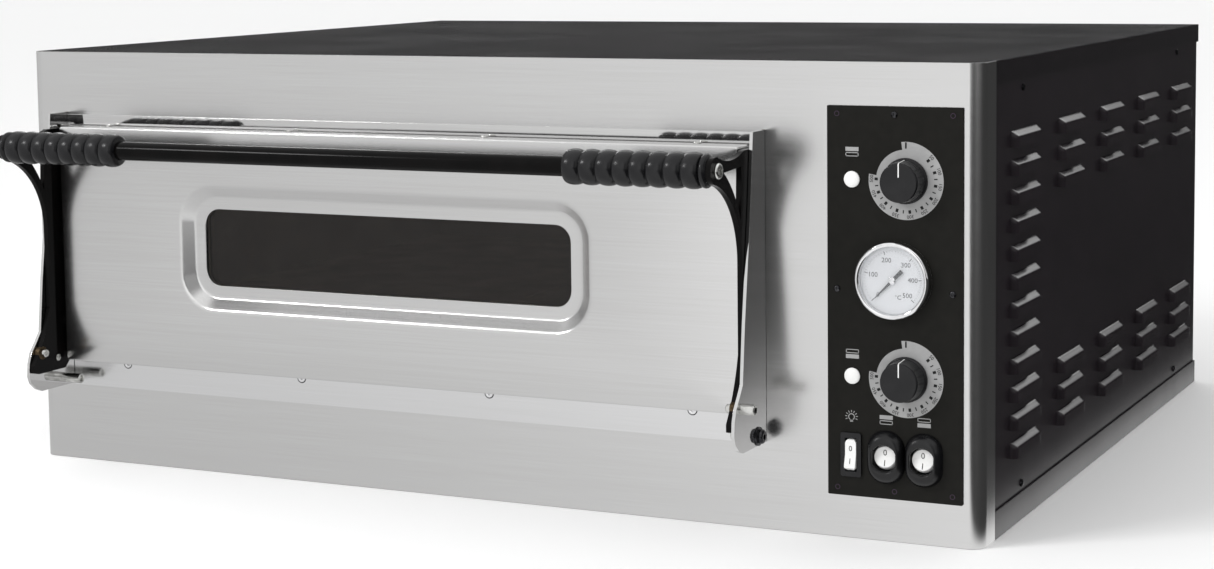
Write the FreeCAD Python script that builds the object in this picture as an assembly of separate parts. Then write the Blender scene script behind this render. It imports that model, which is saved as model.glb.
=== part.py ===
import FreeCAD, Part
import math
import os

# Single-chamber electric deck oven with a bottom-hinged door.
# Millimetres. Shapes are laid out from the body's left front bottom corner: x runs to the right,
# y runs back from the front panel's face (the door and the handle are at negative y), z runs up.
# save() moves each piece so that the origin is the middle of the footprint on the standing plane.

# ---- casing -------------------------------------------------------------------------------
BODY_WIDTH = 1010.0
BODY_DEPTH = 850.0
BODY_HEIGHT = 420.0
SHEET = 1.5                 # casing sheet
TUCK = 0.3                  # clearance between sheets that tuck behind each other
CORNER_RADIUS = 14.0        # upright corners of the front panel
FRONT_RETURN = 38.0         # how far the front panel wraps round each side
PANEL_FLANGE = 15.0         # top and bottom flanges of the front panel
ROOF_LIP = 20.0
BASE_BAND = 25.0
SIDE_TUCK = 12.0            # length of side panel hidden behind the front panel's return

# ---- chamber ------------------------------------------------------------------------------
CHAMBER_LEFT = 66.5         # left side of the body to the chamber's left wall
CONTROL_BAY = 223.5         # chamber's right wall to the right side of the body
REAR_SPACE = 128.5          # chamber's rear wall to the back of the body
STONE_LEVEL = 150.0         # baking surface
TOP_SPACE = 130.0           # chamber ceiling to the roof
STONE_THICKNESS = 15.0
ELEMENT_SPACE = 40.0        # room under the stones for the lower heating elements
LINER_SHEET = 1.5
LINER_FLANGE = 15.0
STONE_COUNT = 2
STONE_JOINT = 2.0
STONE_EDGE_GAP = 1.0
RAIL_WIDTH = 12.0
BLANKET_SIDE = 45.0         # insulation beside the chamber
BLANKET_RIGHT = 32.0
BLANKET_TOP = 80.0
BLANKET_REAR = 77.0
BLANKET_FRONT_GAP = 18.5    # front panel's flange to the blankets
BULKHEAD_GAP = 2.0          # right-hand blanket to the bulkhead

# ---- heating ------------------------------------------------------------------------------
ELEMENT_RADIUS = 4.25
ELEMENT_HOLE_CLEARANCE = 0.1
HAIRPINS = 3                # in each layer
ELEMENT_FRONT_GAP = 38.0
ELEMENT_TAIL = 12.0         # bare end behind the rear blanket
UPPER_ELEMENT_DROP = 12.0   # ceiling to the upper elements' centreline
LOWER_ELEMENT_RISE = 15.0   # liner floor to the lower elements' centreline
CROSS_BAR_HEIGHT = 2.0
CROSS_BAR_WIDTH = 20.0
CROSS_BAR_COUNT = 2

# ---- door ---------------------------------------------------------------------------------
DOOR_OVERLAP = 10.5         # door edge past the chamber's side wall
DOOR_DROP = 42.0            # door's lower edge below the baking surface
DOOR_RISE = 56.0            # door's upper edge above the chamber ceiling
DOOR_GAP = 3.0              # front panel to the back of the door
DOOR_THICKNESS = 26.0
DOOR_SHEET = 1.5
INNER_PAN_SHEET = 2.0
DOOR_EDGE_RADIUS = 2.5
GASKET_WIDTH = 8.0
GASKET_CLEARANCE = 0.3
GASKET_BOTTOM_RISE = 14.0   # door's lower edge to the gasket's lower run
GASKET_TOP_DROP = 36.0      # door's upper edge to the gasket's upper run
WINDOW_SIDE = 146.5         # door edge to the recess round the window
WINDOW_BOTTOM = 61.4
WINDOW_TOP = 54.7
RECESS_RADIUS = 37.0
RECESS_DEPTH = 9.0
RECESS_SLOPE = 11.0         # plan width of the recess's sloping wall
GLASS_MARGIN = 12.0         # flat frame round the glass opening
GLASS_THICKNESS = 4.0
GLASS_LAP = 10.0            # glass held behind the frame
GLASS_SPACER = 2.0
PAN_SCREW_INSET = 47.0
DOOR_SCREWS = 4

# ---- wings, arms and handle ---------------------------------------------------------------
WING_GAP = 11.0             # door edge to the wing plate
WING_THICKNESS = 3.0
WING_SLOT_CLEARANCE = 0.2
WING_FLANGE = 20.0
WING_TOP_RISE = 13.0        # wing top above the door's upper edge
WING_TOP_REACH = 28.0       # front panel to the wing's front edge, from the top down
WING_KNEE_REACH = 34.5
WING_KNEE_DROP = 53.0       # below the door's upper edge
WING_SHIN_REACH = 49.0
WING_SHIN_RISE = 84.0       # above the door's lower edge
WING_ANKLE_REACH = 54.5
WING_ANKLE_RISE = 32.0
FOOT_REACH = 15.6           # hinge axis to the front of the foot
WING_SOLE_START = 19.6      # front of the foot to its flat lower edge
# Foot's front edge: back from its foremost point, and above the door's lower edge.
WING_FOOT = ((12.6, 22.0), (4.9, 12.6), (1.1, 2.0), (0.0, -11.0), (2.6, -18.0), (10.6, -25.0))
ARM_THICKNESS = 5.0
ARM_WING_GAP = 0.5
ARM_BACK = 12.0             # front panel to the arm's back edge
ARM_FRONT = 45.0
ARM_DROP = 9.0              # foot of the arm below the door's lower edge
ARM_TOP_DROP = 2.0
ARM_TOE = 14.0              # hinge axis to the front of the arm's foot
FORK_DROP = 84.0            # bar's axis to where the front branch leaves the upright
FOOT_SCREW_FORWARD = 36.0
FOOT_SCREW_RISE = 3.5
FOOT_SCREW_HEAD = 3.4
ARM_SCREW_IN = 10.0         # depth of the arm screws' holes in the door
DOOR_SCREW_IN = 9.0
DOOR_SCREW_HEAD = 1.6
ARM_BOSS_RADIUS = 7.0
ARM_SCREW_RADIUS = 3.0
ARM_SCREW_HEAD_RADIUS = 5.4
ARM_SCREW_HEAD = 3.2
EYE_RADIUS = 12.0
HANDLE_REACH = 73.0         # door face to the bar's axis
HANDLE_DROP = 14.5          # door's upper edge to the bar's axis
BAR_RADIUS = 9.0
GRIP_RADIUS = 16.0
GRIP_WAIST = 13.2
GRIP_PITCH = 16.1
GRIP_BULBS = 8
GRIP_RING = 7.0
HANDLE_SCREW_RADIUS = 4.0
PIVOT_FORWARD = 59.0        # front panel to the hinge axis
PIVOT_RISE = 11.5           # hinge axis above the door's lower edge
PIVOT_RADIUS = 4.0
PIVOT_CLEARANCE = 0.05
BUSH_WALL = 2.5
PIVOT_HEAD_RADIUS = 5.0
PIVOT_HEAD = 13.5           # right-hand bolt
PIVOT_LOW_HEAD = 3.0        # left-hand bolt
PIVOT_SOCKET = 2.9
PIVOT_NUT = 4.7
PIVOT_NUT_RADIUS = 7.0
PIVOT_NUT_GAP = 0.3
STOP_FORWARD = 20.0
STOP_DROP = 20.0            # below the door's lower edge
STOP_SLEEVE_RADIUS = 5.0
STOP_SLEEVE = 22.0
STOP_BOLT_RADIUS = 3.0
STOP_HEAD = 4.5
STOP_HEAD_RADIUS = 6.5
STOP_SOCKET = 2.6
STOP_WASHER = 1.5
STOP_WASHER_RADIUS = 8.5

# ---- strips on the front panel ------------------------------------------------------------
SILL_HEIGHT = 29.5
SILL_THICKNESS = 3.0
SILL_GAP = 0.5
SILL_SCREWS = 4
SILL_SCREW_INSET = 68.0
SILL_SCREW_DROP = 4.8
HEAD_STRIP_HEIGHT = 10.0
HEAD_STRIP_THICKNESS = 2.0

# ---- controls -----------------------------------------------------------------------------
PANEL_RIGHT = 17.0          # control plate's edge to the right side of the body
PANEL_WIDTH = 123.0
PANEL_BOTTOM = 38.0
PANEL_TOP_DROP = 38.0
PANEL_PLATE = 2.0
PANEL_RADIUS = 1.0
PANEL_SCREW_INSET = 9.0
PANEL_SCREW_DROP = 7.0
PANEL_SCREW_STEP = 10.0     # side screws below the thermometer's middle
PANEL_SCREW_HEAD = 3.0
PANEL_SCREW_STAND = 1.4
PANEL_CUTOUT_INSET = 14.0
KNOB_OFFSET = 72.0          # control plate's left edge to the knobs and the thermostats
UPPER_KNOB_DROP = 64.0      # control plate's top edge to the upper knob
LOWER_KNOB_RISE = 107.0     # control plate's bottom edge to the lower knob
KNOB_RADIUS = 20.0
KNOB_BODY = 17.0
KNOB_SKIRT = 3.0
KNOB_GAP = 0.4
SHAFT_RADIUS = 3.0
SHAFT_CLEARANCE = 0.05
THERMOSTAT_SIDE = 46.0
THERMOSTAT_DEPTH = 32.0
CAPILLARY_RADIUS = 1.0
PROBE_RADIUS = 3.0
PROBE_TIP_GAP = 4.0         # probe's tip to the nearest heating element
PROBE_CLEARANCE = 0.05
PROBE_SETBACK = 150.0
LAMP_DROP = 4.0             # chamber lamp below the middle of the baking space
LAMP_CUP_RADIUS = 30.0
LAMP_CUP_WALL = 1.5
BULB_RADIUS = 15.0
BULB_BACK = 24.0
BULB_NECK_RADIUS = 9.0
LAMP_OFFSET = 23.0
LAMP_RADIUS = 7.2
GAUGE_OFFSET = 61.5
GAUGE_RADIUS = 34.0
GAUGE_CASE_RADIUS = 32.0
GAUGE_FACE_RADIUS = 29.5
GAUGE_STAND = 10.0
GAUGE_DEPTH = 20.0
SWITCH_RISE = 37.0          # control plate's bottom edge to the switches
LIGHT_SWITCH_OFFSET = 22.0
POWER_SWITCH_OFFSETS = (54.0, 88.5)
LIGHT_ROCKER_RADIUS = 14.5
LIGHT_ROCKER_WIDTH = 10.0
POWER_ROCKER_RADIUS = 11.5
ROCKER_CLEARANCE = 0.3
LIGHT_RIM = 2.6
LIGHT_RIM_STAND = 2.5
ROCKER_STAND = 6.0          # rocker's pin to its face
ROCKER_DEPTH_SHARE = 0.45   # of its radius, behind the pin
ROCKER_TILT = 8.0           # degrees each way from level
SWITCH_DEPTH = 26.0
BOOT_WIDTH = 34.0
BOOT_HEIGHT = 47.0
BOOT_STAND = 9.0

# ---- louvres and screws of the casing -----------------------------------------------------
LOUVRE_WIDTH = 84.0
LOUVRE_HEIGHT = 14.5
LOUVRE_BULGE = 6.5
LOUVRE_WALL = 1.0
LOUVRE_PITCH = 25.35
LOUVRE_BOTTOM = 62.0        # lowest louvre's mouth
LOUVRE_TOP_DROP = 60.0      # roof to the highest louvre's top, at least
LOUVRE_COLUMNS = 5
LOUVRE_FRONT = 131.0        # front panel to the first column's middle
LOUVRE_REAR = 89.0          # last column's middle to the back
LOUVRE_GROUP = 3            # rows at the top and at the bottom of the shorter columns
CASING_SCREW_FRONT = 126.5
CASING_SCREW_REAR = 105.0
BACK_SCREW_INSET = 30.0
BACK_SCREW_COLUMNS = 4
# Slots at the back: their middles from the right side and from the top.
VENT_LEFT = 170.0
VENT_RIGHT = 60.0
VENT_LOW = 150.0
VENT_HIGH = 70.0
VENT_COLUMNS = 2
VENT_ROWS = 6
VENT_LENGTH = 76.0
VENT_HEIGHT = 5.0
VENT_END_RADIUS = 2.4
CASING_SCREW_EDGE = 7.5     # roof lip or base band to the screw's centre
CASING_SCREW_RADIUS = 2.0
CASING_SCREW_HEAD = 3.6
GLAND_RIGHT = 95.0
GLAND_RISE = 62.0
GLAND_BORE = 7.0
GLAND_RADIUS = 12.0
GLAND_LENGTH = 34.0
WIRE_RADIUS = 2.5
WIRE_BEND = 10.0
WIRE_STEP = 10.0
SUPPLY_LEVEL = 150.0        # where the supply wires run back along the bay
ELEMENT_WIRE_START = 60.0   # inside the insulation's right side
ELEMENT_WIRE_REACH = 20.0
ELEMENT_WIRE_BACK = 200.0
ELEMENT_WIRE_RISE = 30.0
SWITCH_WIRE_TURN = 90.0
SWITCH_WIRE_REACH = 84.0
SWITCH_WIRE_BACK = 290.0
SWITCH_WIRE_END = 180.0
GLAND_WIRE_IN = 18.0
GLAND_WIRE_RISE = 30.0
CONTACTOR_PLACES = (330.0, 260.0)   # contactors' front sides, from the back of the body
CONTACTOR_BOTTOM = 200.0
CONTACTOR_TOP = 275.0
CONTACTOR_WIDTH = 45.0
CONTACTOR_BASE = 48.0
CONTACTOR_REACH = 70.0
CONTACTOR_STEP = 6.0
TERMINALS = 5
TERMINAL_BACK = 150.0
TERMINAL_BOTTOM = 60.0
TERMINAL_HEIGHT = 35.0
TERMINAL_REACH = 34.0
TERMINAL_PITCH = 16.0
TERMINAL_WELL = 4.5
TERMINAL_WELL_DEPTH = 6.0

# ---- places worked out from the sizes above -----------------------------------------------
CHAMBER_RIGHT = BODY_WIDTH - CONTROL_BAY
CHAMBER_MID = (CHAMBER_LEFT + CHAMBER_RIGHT) / 2
CHAMBER_FRONT = SHEET
CHAMBER_BACK = BODY_DEPTH - REAR_SPACE
CHAMBER_TOP = BODY_HEIGHT - TOP_SPACE
LINER_FLOOR = STONE_LEVEL - STONE_THICKNESS - ELEMENT_SPACE
STONE_BOTTOM = STONE_LEVEL - STONE_THICKNESS
DOOR_LEFT = CHAMBER_LEFT - DOOR_OVERLAP
DOOR_RIGHT = CHAMBER_RIGHT + DOOR_OVERLAP
DOOR_BOTTOM = STONE_LEVEL - DOOR_DROP
DOOR_TOP = CHAMBER_TOP + DOOR_RISE
DOOR_BACK = -DOOR_GAP
DOOR_FACE = DOOR_BACK - DOOR_THICKNESS
WING_LEFT = DOOR_LEFT - WING_GAP            # inner face of the left wing
WING_RIGHT = DOOR_RIGHT + WING_GAP          # inner face of the right wing
PIVOT_Y = -PIVOT_FORWARD
PIVOT_Z = DOOR_BOTTOM + PIVOT_RISE
STOP_Z = DOOR_BOTTOM - STOP_DROP
BAR_Y = DOOR_FACE - HANDLE_REACH
BAR_Z = DOOR_TOP - HANDLE_DROP
PLATE_RIGHT = BODY_WIDTH - PANEL_RIGHT
PLATE_LEFT = PLATE_RIGHT - PANEL_WIDTH
PLATE_BOTTOM = PANEL_BOTTOM
PLATE_TOP = BODY_HEIGHT - PANEL_TOP_DROP
KNOB_X = PLATE_LEFT + KNOB_OFFSET
UPPER_KNOB_Z = PLATE_TOP - UPPER_KNOB_DROP
LOWER_KNOB_Z = PLATE_BOTTOM + LOWER_KNOB_RISE
GAUGE_X = PLATE_LEFT + GAUGE_OFFSET
GAUGE_Z = (UPPER_KNOB_Z + LOWER_KNOB_Z) / 2
SWITCH_Z = PLATE_BOTTOM + SWITCH_RISE
BLANKET_OUTER_LEFT = CHAMBER_LEFT - LINER_SHEET - BLANKET_SIDE
BLANKET_OUTER_RIGHT = CHAMBER_RIGHT + LINER_SHEET + BLANKET_RIGHT
BLANKET_FRONT = SHEET + BLANKET_FRONT_GAP
BLANKET_BACK = CHAMBER_BACK + LINER_SHEET + BLANKET_REAR
BULKHEAD_X = BLANKET_OUTER_RIGHT + BULKHEAD_GAP

X_AXIS = FreeCAD.Vector(1, 0, 0)
Y_AXIS = FreeCAD.Vector(0, 1, 0)
Z_AXIS = FreeCAD.Vector(0, 0, 1)


# ---- helpers ------------------------------------------------------------------------------
def vec(x, y, z):
    return FreeCAD.Vector(x, y, z)


def box(x0, y0, z0, x1, y1, z1):
    return Part.makeBox(x1 - x0, y1 - y0, z1 - z0, vec(x0, y0, z0))


def rod_x(x0, x1, y, z, radius):
    return Part.makeCylinder(radius, x1 - x0, vec(x0, y, z), X_AXIS)


def rod_y(x, y0, y1, z, radius):
    return Part.makeCylinder(radius, y1 - y0, vec(x, y0, z), Y_AXIS)


def rod_z(x, y, z0, z1, radius):
    return Part.makeCylinder(radius, z1 - z0, vec(x, y, z0), Z_AXIS)


def rounded_box(x0, y0, z0, x1, y1, z1, radius, along):
    """A box with the four edges that run along one axis rounded."""
    solid = box(x0, y0, z0, x1, y1, z1)
    spans = {"x": (y1 - y0, z1 - z0), "y": (x1 - x0, z1 - z0), "z": (x1 - x0, y1 - y0)}
    limit = 0.49 * min(spans[along])
    index = "xyz".index(along)
    edges = []
    for edge in solid.Edges:
        if abs(edge.tangentAt(edge.FirstParameter)[index]) > 0.99:
            edges.append(edge)
    return solid.makeFillet(min(radius, limit), edges)


def rounded_wire(x0, z0, x1, z1, y, radius):
    """Outline of a rounded rectangle in an upright plane."""
    slab = rounded_box(x0, y, z0, x1, y + 1, z1, radius, "y")
    for face in slab.Faces:
        if abs(face.CenterOfMass.y - y) < 1e-6:
            return face.OuterWire
    raise ValueError("the slab has no front face")


def plate_yz(outline, x0, x1):
    """A plate cut to an outline of y, z points, from x0 to x1."""
    points = [vec(x0, y, z) for y, z in outline]
    face = Part.Face(Part.makePolygon(points + points[:1]))
    return face.extrude(vec(x1 - x0, 0, 0))


def arc_yz(start, middle, end, x):
    """Three-point arc in the plane of a side plate."""
    return Part.Arc(vec(x, *start), vec(x, *middle), vec(x, *end)).toShape()


def line_yz(start, end, x):
    return Part.LineSegment(vec(x, *start), vec(x, *end)).toShape()


def tube(points, radius, bend):
    """A round tube along straight runs joined by tangent arcs."""
    edges = []
    last = points[0]
    for before, corner, after in zip(points, points[1:], points[2:]):
        into = (corner - before).normalize()
        out = (after - corner).normalize()
        turn = into.getAngle(out)
        setback = bend * math.tan(turn / 2)
        first = corner - into * setback
        final = corner + out * setback
        side = (out - into).normalize()
        middle = corner + side * (bend / math.cos(turn / 2) - bend)
        edges.append(Part.LineSegment(last, first).toShape())
        edges.append(Part.Arc(first, middle, final).toShape())
        last = final
    edges.append(Part.LineSegment(last, points[-1]).toShape())
    circle = Part.Circle(points[0], points[1] - points[0], radius).toShape()
    path = Part.Wire(edges)
    return path.makePipeShell([Part.Wire([circle])], True, True)


def mirrored(shape):
    """The same piece on the other side of the door."""
    return shape.mirror(vec(CHAMBER_MID, 0, 0), X_AXIS)


def spread(first, last, count):
    """Evenly spaced places from first to last."""
    step = (last - first) / (count - 1)
    return [first + step * number for number in range(count)]


def save(name, *solids):
    """Write one node, moved to the oven's own frame."""
    shape = solids[0]
    if len(solids) > 1:
        shape = Part.makeCompound(list(solids))
    moved = shape.copy()
    moved.translate(vec(-BODY_WIDTH / 2, -BODY_DEPTH / 2, 0))
    moved.exportStep("parts/" + name + ".step")


def hex_socket(x, y, z, radius, depth, axis):
    """Hexagonal hole that starts at a point and runs along an axis."""
    corners = []
    side = vec(0, 0, 1) if abs(axis.z) < 0.5 else vec(1, 0, 0)
    other = axis.cross(side)
    for number in range(6):
        angle = math.radians(60 * number)
        corners.append(vec(x, y, z) + side * (radius * math.cos(angle)) + other * (radius * math.sin(angle)))
    face = Part.Face(Part.makePolygon(corners + corners[:1]))
    return face.extrude(axis * depth)


# ---- casing -------------------------------------------------------------------------------
def control_screw_places():
    """One screw at the top of the control plate and one on each side."""
    left = PLATE_LEFT + PANEL_SCREW_INSET
    right = PLATE_RIGHT - PANEL_SCREW_INSET
    level = GAUGE_Z - PANEL_SCREW_STEP
    return [((left + right) / 2, PLATE_TOP - PANEL_SCREW_DROP), (left, level), (right, level)]


def sill_screw_places():
    return spread(WING_LEFT + SILL_SCREW_INSET, WING_RIGHT - SILL_SCREW_INSET, SILL_SCREWS)


def front_panel():
    shell = rounded_box(0, 0, 0, BODY_WIDTH, 2 * FRONT_RETURN, BODY_HEIGHT, CORNER_RADIUS, "z")
    hollow = rounded_box(SHEET, SHEET, -1, BODY_WIDTH - SHEET, 2 * FRONT_RETURN, BODY_HEIGHT + 1,
                         CORNER_RADIUS - SHEET, "z")
    panel = shell.cut(hollow)
    panel = panel.cut(box(-1, FRONT_RETURN, -1, BODY_WIDTH + 1, 3 * FRONT_RETURN, BODY_HEIGHT + 1))
    inset = CORNER_RADIUS
    under_roof = BODY_HEIGHT - SHEET - TUCK
    over_base = SHEET + TUCK
    top = box(inset, SHEET, under_roof - SHEET, BODY_WIDTH - inset, PANEL_FLANGE, under_roof)
    bottom = box(inset, SHEET, over_base, BODY_WIDTH - inset, PANEL_FLANGE, over_base + SHEET)
    panel = panel.fuse([top, bottom])
    mouth = box(CHAMBER_LEFT, -1, STONE_BOTTOM, CHAMBER_RIGHT, SHEET + 1, CHAMBER_TOP)
    inset = PANEL_CUTOUT_INSET
    controls = box(PLATE_LEFT + inset, -1, PLATE_BOTTOM + inset,
                   PLATE_RIGHT - inset, SHEET + 1, PLATE_TOP - inset)
    gap = WING_SLOT_CLEARANCE
    cuts = [mouth, controls]
    for inner in (WING_LEFT - WING_THICKNESS, WING_RIGHT):
        cuts.append(box(inner - gap, -1, wing_bottom() - gap,
                        inner + WING_THICKNESS + gap, SHEET + 1, wing_top() + gap))
    for x, z in control_screw_places():
        cuts.append(rod_y(x, -1, SHEET + 1, z, CASING_SCREW_RADIUS))
    for x in sill_screw_places():
        cuts.append(rod_y(x, -1, SHEET + 1, sill_screw_z(), CASING_SCREW_RADIUS))
    return panel.cut(cuts)


def roof_panel():
    front = FRONT_RETURN + TUCK
    top = box(0, front, BODY_HEIGHT - SHEET, BODY_WIDTH, BODY_DEPTH, BODY_HEIGHT)
    inset = SHEET + TUCK
    tongue = rounded_box(inset, inset, BODY_HEIGHT - SHEET, BODY_WIDTH - inset, 3 * FRONT_RETURN,
                         BODY_HEIGHT, CORNER_RADIUS - inset, "z")
    tongue = tongue.cut(box(-1, front + 1, 0, BODY_WIDTH + 1, BODY_DEPTH, BODY_HEIGHT + 1))
    low = BODY_HEIGHT - ROOF_LIP
    left = box(0, front, low, SHEET, BODY_DEPTH, BODY_HEIGHT)
    right = box(BODY_WIDTH - SHEET, front, low, BODY_WIDTH, BODY_DEPTH, BODY_HEIGHT)
    rear = box(0, BODY_DEPTH - SHEET, low, BODY_WIDTH, BODY_DEPTH, BODY_HEIGHT)
    return top.fuse([tongue, left, right, rear]).removeSplitter()


def base_tray():
    front = FRONT_RETURN + TUCK
    floor = box(0, front, 0, BODY_WIDTH, BODY_DEPTH, SHEET)
    inset = SHEET + TUCK
    tongue = rounded_box(inset, inset, 0, BODY_WIDTH - inset, 3 * FRONT_RETURN, SHEET,
                         CORNER_RADIUS - inset, "z")
    tongue = tongue.cut(box(-1, front + 1, -1, BODY_WIDTH + 1, BODY_DEPTH, SHEET + 1))
    left = box(0, front, 0, SHEET, BODY_DEPTH, BASE_BAND)
    right = box(BODY_WIDTH - SHEET, front, 0, BODY_WIDTH, BODY_DEPTH, BASE_BAND)
    rear = box(0, BODY_DEPTH - SHEET, 0, BODY_WIDTH, BODY_DEPTH, BASE_BAND)
    return floor.fuse([tongue, left, right, rear]).removeSplitter()


def louvre_hood(width, height, bulge, foot):
    """Hood that stands out along -x from x = 0, with its open mouth at the foot's level."""
    front = bulge / LOUVRE_BULGE
    side = [(0, foot), (-bulge, foot), (-bulge, height * 0.42), (-5.2 * front, height * 0.68), (0, height)]
    plan = [(0, 0), (-5.0 * front, 2.5), (-bulge, 6.0), (-bulge, width - 6.0),
            (-5.0 * front, width - 2.5), (0, width)]
    side_face = Part.Face(Part.makePolygon([vec(x, 0, z) for x, z in side + side[:1]]))
    plan_face = Part.Face(Part.makePolygon([vec(x, y, foot) for x, y in plan + plan[:1]]))
    length = side_face.extrude(vec(0, width, 0))
    tall = plan_face.extrude(vec(0, 0, height - foot))
    return length.common(tall)


def louvre_places():
    """Lower front corner of each louvre, as y and z."""
    room = BODY_HEIGHT - LOUVRE_TOP_DROP - LOUVRE_BOTTOM - LOUVRE_HEIGHT
    rows = int(room / LOUVRE_PITCH + 1e-6) + 1
    middles = spread(LOUVRE_FRONT, BODY_DEPTH - LOUVRE_REAR, LOUVRE_COLUMNS)
    places = []
    for column, middle in enumerate(middles):
        for row in range(rows):
            in_group = row < LOUVRE_GROUP or row >= rows - LOUVRE_GROUP
            if column == 0 or in_group:
                places.append((middle - LOUVRE_WIDTH / 2, LOUVRE_BOTTOM + row * LOUVRE_PITCH))
    return places


def casing_screw_places():
    """Side panel screws, as y and z."""
    low = BASE_BAND + CASING_SCREW_EDGE
    high = BODY_HEIGHT - ROOF_LIP - CASING_SCREW_EDGE
    places = []
    for y in (CASING_SCREW_FRONT, BODY_DEPTH - CASING_SCREW_REAR):
        for z in (low, high):
            places.append((y, z))
    return places


def side_panel():
    """The left side panel, with its louvres pressed outwards."""
    outer = SHEET + TUCK
    inner = outer + SHEET
    back = BODY_DEPTH - 2 * SHEET - 2 * TUCK
    panel = box(outer, FRONT_RETURN - SIDE_TUCK, SHEET + TUCK, inner, back, BODY_HEIGHT - SHEET - TUCK)
    hood = louvre_hood(LOUVRE_WIDTH, LOUVRE_HEIGHT, LOUVRE_BULGE, 0)
    wall = LOUVRE_WALL
    hollow = louvre_hood(LOUVRE_WIDTH - 2 * wall, LOUVRE_HEIGHT - wall, LOUVRE_BULGE - wall, -1)
    hollow.translate(vec(0, wall, 0))
    mouth = box(-0.01, wall, 0, 2 * SHEET, LOUVRE_WIDTH - wall, LOUVRE_HEIGHT - 2 * wall)
    hoods = []
    cuts = []
    for y, z in louvre_places():
        place = vec(outer, y, z)
        hoods.append(hood.translated(place))
        cuts.append(hollow.translated(place))
        cuts.append(mouth.translated(place))
    for y, z in casing_screw_places():
        cuts.append(rod_x(-1, 2 * inner, y, z, CASING_SCREW_RADIUS))
    return panel.fuse(hoods).cut(cuts)


def back_screw_places():
    xs = spread(BACK_SCREW_INSET, BODY_WIDTH - BACK_SCREW_INSET, BACK_SCREW_COLUMNS)
    low = BASE_BAND + CASING_SCREW_EDGE
    high = BODY_HEIGHT - ROOF_LIP - CASING_SCREW_EDGE
    return [(x, z) for x in xs for z in (low, high)]


def back_panel():
    outer = BODY_DEPTH - SHEET - TUCK
    panel = box(SHEET + TUCK, outer - SHEET, SHEET + TUCK, BODY_WIDTH - SHEET - TUCK, outer,
                BODY_HEIGHT - SHEET - TUCK)
    cuts = [rod_y(gland_x(), outer - 3 * SHEET, BODY_DEPTH, GLAND_RISE, GLAND_RADIUS - 2)]
    for x, z in back_screw_places():
        cuts.append(rod_y(x, outer - 3 * SHEET, BODY_DEPTH, z, CASING_SCREW_RADIUS))
    for x in spread(BODY_WIDTH - VENT_LEFT, BODY_WIDTH - VENT_RIGHT, VENT_COLUMNS):
        for z in spread(BODY_HEIGHT - VENT_LOW, BODY_HEIGHT - VENT_HIGH, VENT_ROWS):
            cuts.append(rounded_box(x - VENT_LENGTH / 2, outer - 3 * SHEET, z - VENT_HEIGHT / 2,
                                    x + VENT_LENGTH / 2, BODY_DEPTH, z + VENT_HEIGHT / 2,
                                    VENT_END_RADIUS, "y"))
    return panel.cut(cuts)


def casing_screws():
    """Pan-head screws of the side and back panels."""
    solids = []
    outer = SHEET + TUCK
    for y, z in casing_screw_places():
        head = rod_x(outer - 1.8, outer, y, z, CASING_SCREW_HEAD)
        shank = rod_x(outer, outer + 8, y, z, CASING_SCREW_RADIUS)
        screw = head.fuse(shank)
        solids.append(screw)
        solids.append(screw.mirror(vec(BODY_WIDTH / 2, 0, 0), X_AXIS))
    rear = BODY_DEPTH - SHEET - TUCK
    for x, z in back_screw_places():
        head = rod_y(x, rear, rear + 1.8, z, CASING_SCREW_HEAD)
        shank = rod_y(x, rear - 8, rear, z, CASING_SCREW_RADIUS)
        solids.append(head.fuse(shank))
    return solids


# ---- chamber ------------------------------------------------------------------------------
def hairpin_legs():
    """Middle of each hairpin and half the distance between its legs."""
    pitch = (CHAMBER_RIGHT - CHAMBER_LEFT) / HAIRPINS
    middles = [CHAMBER_LEFT + pitch * (number + 0.5) for number in range(HAIRPINS)]
    return middles, pitch / 4


def element_levels():
    return (LINER_FLOOR + LOWER_ELEMENT_RISE, CHAMBER_TOP - UPPER_ELEMENT_DROP)


def element_holes(y0, y1):
    """Holes for every element leg, from y0 to y1."""
    middles, half = hairpin_legs()
    radius = ELEMENT_RADIUS + ELEMENT_HOLE_CLEARANCE
    holes = []
    for z in element_levels():
        for middle in middles:
            for x in (middle - half, middle + half):
                holes.append(rod_y(x, y0, y1, z, radius))
    return holes


def heating_elements():
    middles, half = hairpin_legs()
    front = CHAMBER_FRONT + ELEMENT_FRONT_GAP + half
    back = BLANKET_BACK + ELEMENT_TAIL
    solids = []
    for z in element_levels():
        for middle in middles:
            left = rod_y(middle - half, front, back, z, ELEMENT_RADIUS)
            right = rod_y(middle + half, front, back, z, ELEMENT_RADIUS)
            ring = Part.makeTorus(half, ELEMENT_RADIUS, vec(middle, front, z), Z_AXIS)
            span = half + 2 * ELEMENT_RADIUS
            bend = ring.common(box(middle - span, front - span, z - span, middle + span, front, z + span))
            solids.append(bend.fuse([left, right]))
    return solids


def cross_bars():
    """Flat bars across the chamber that carry the heating elements."""
    depth = CHAMBER_BACK - CHAMBER_FRONT
    places = spread(CHAMBER_FRONT + depth * 0.3, CHAMBER_FRONT + depth * 0.75, CROSS_BAR_COUNT)
    bars = []
    for z in element_levels():
        top = z - ELEMENT_RADIUS
        for y in places:
            bars.append(box(CHAMBER_LEFT, y, top - CROSS_BAR_HEIGHT, CHAMBER_RIGHT, y + CROSS_BAR_WIDTH, top))
    return bars


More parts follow.
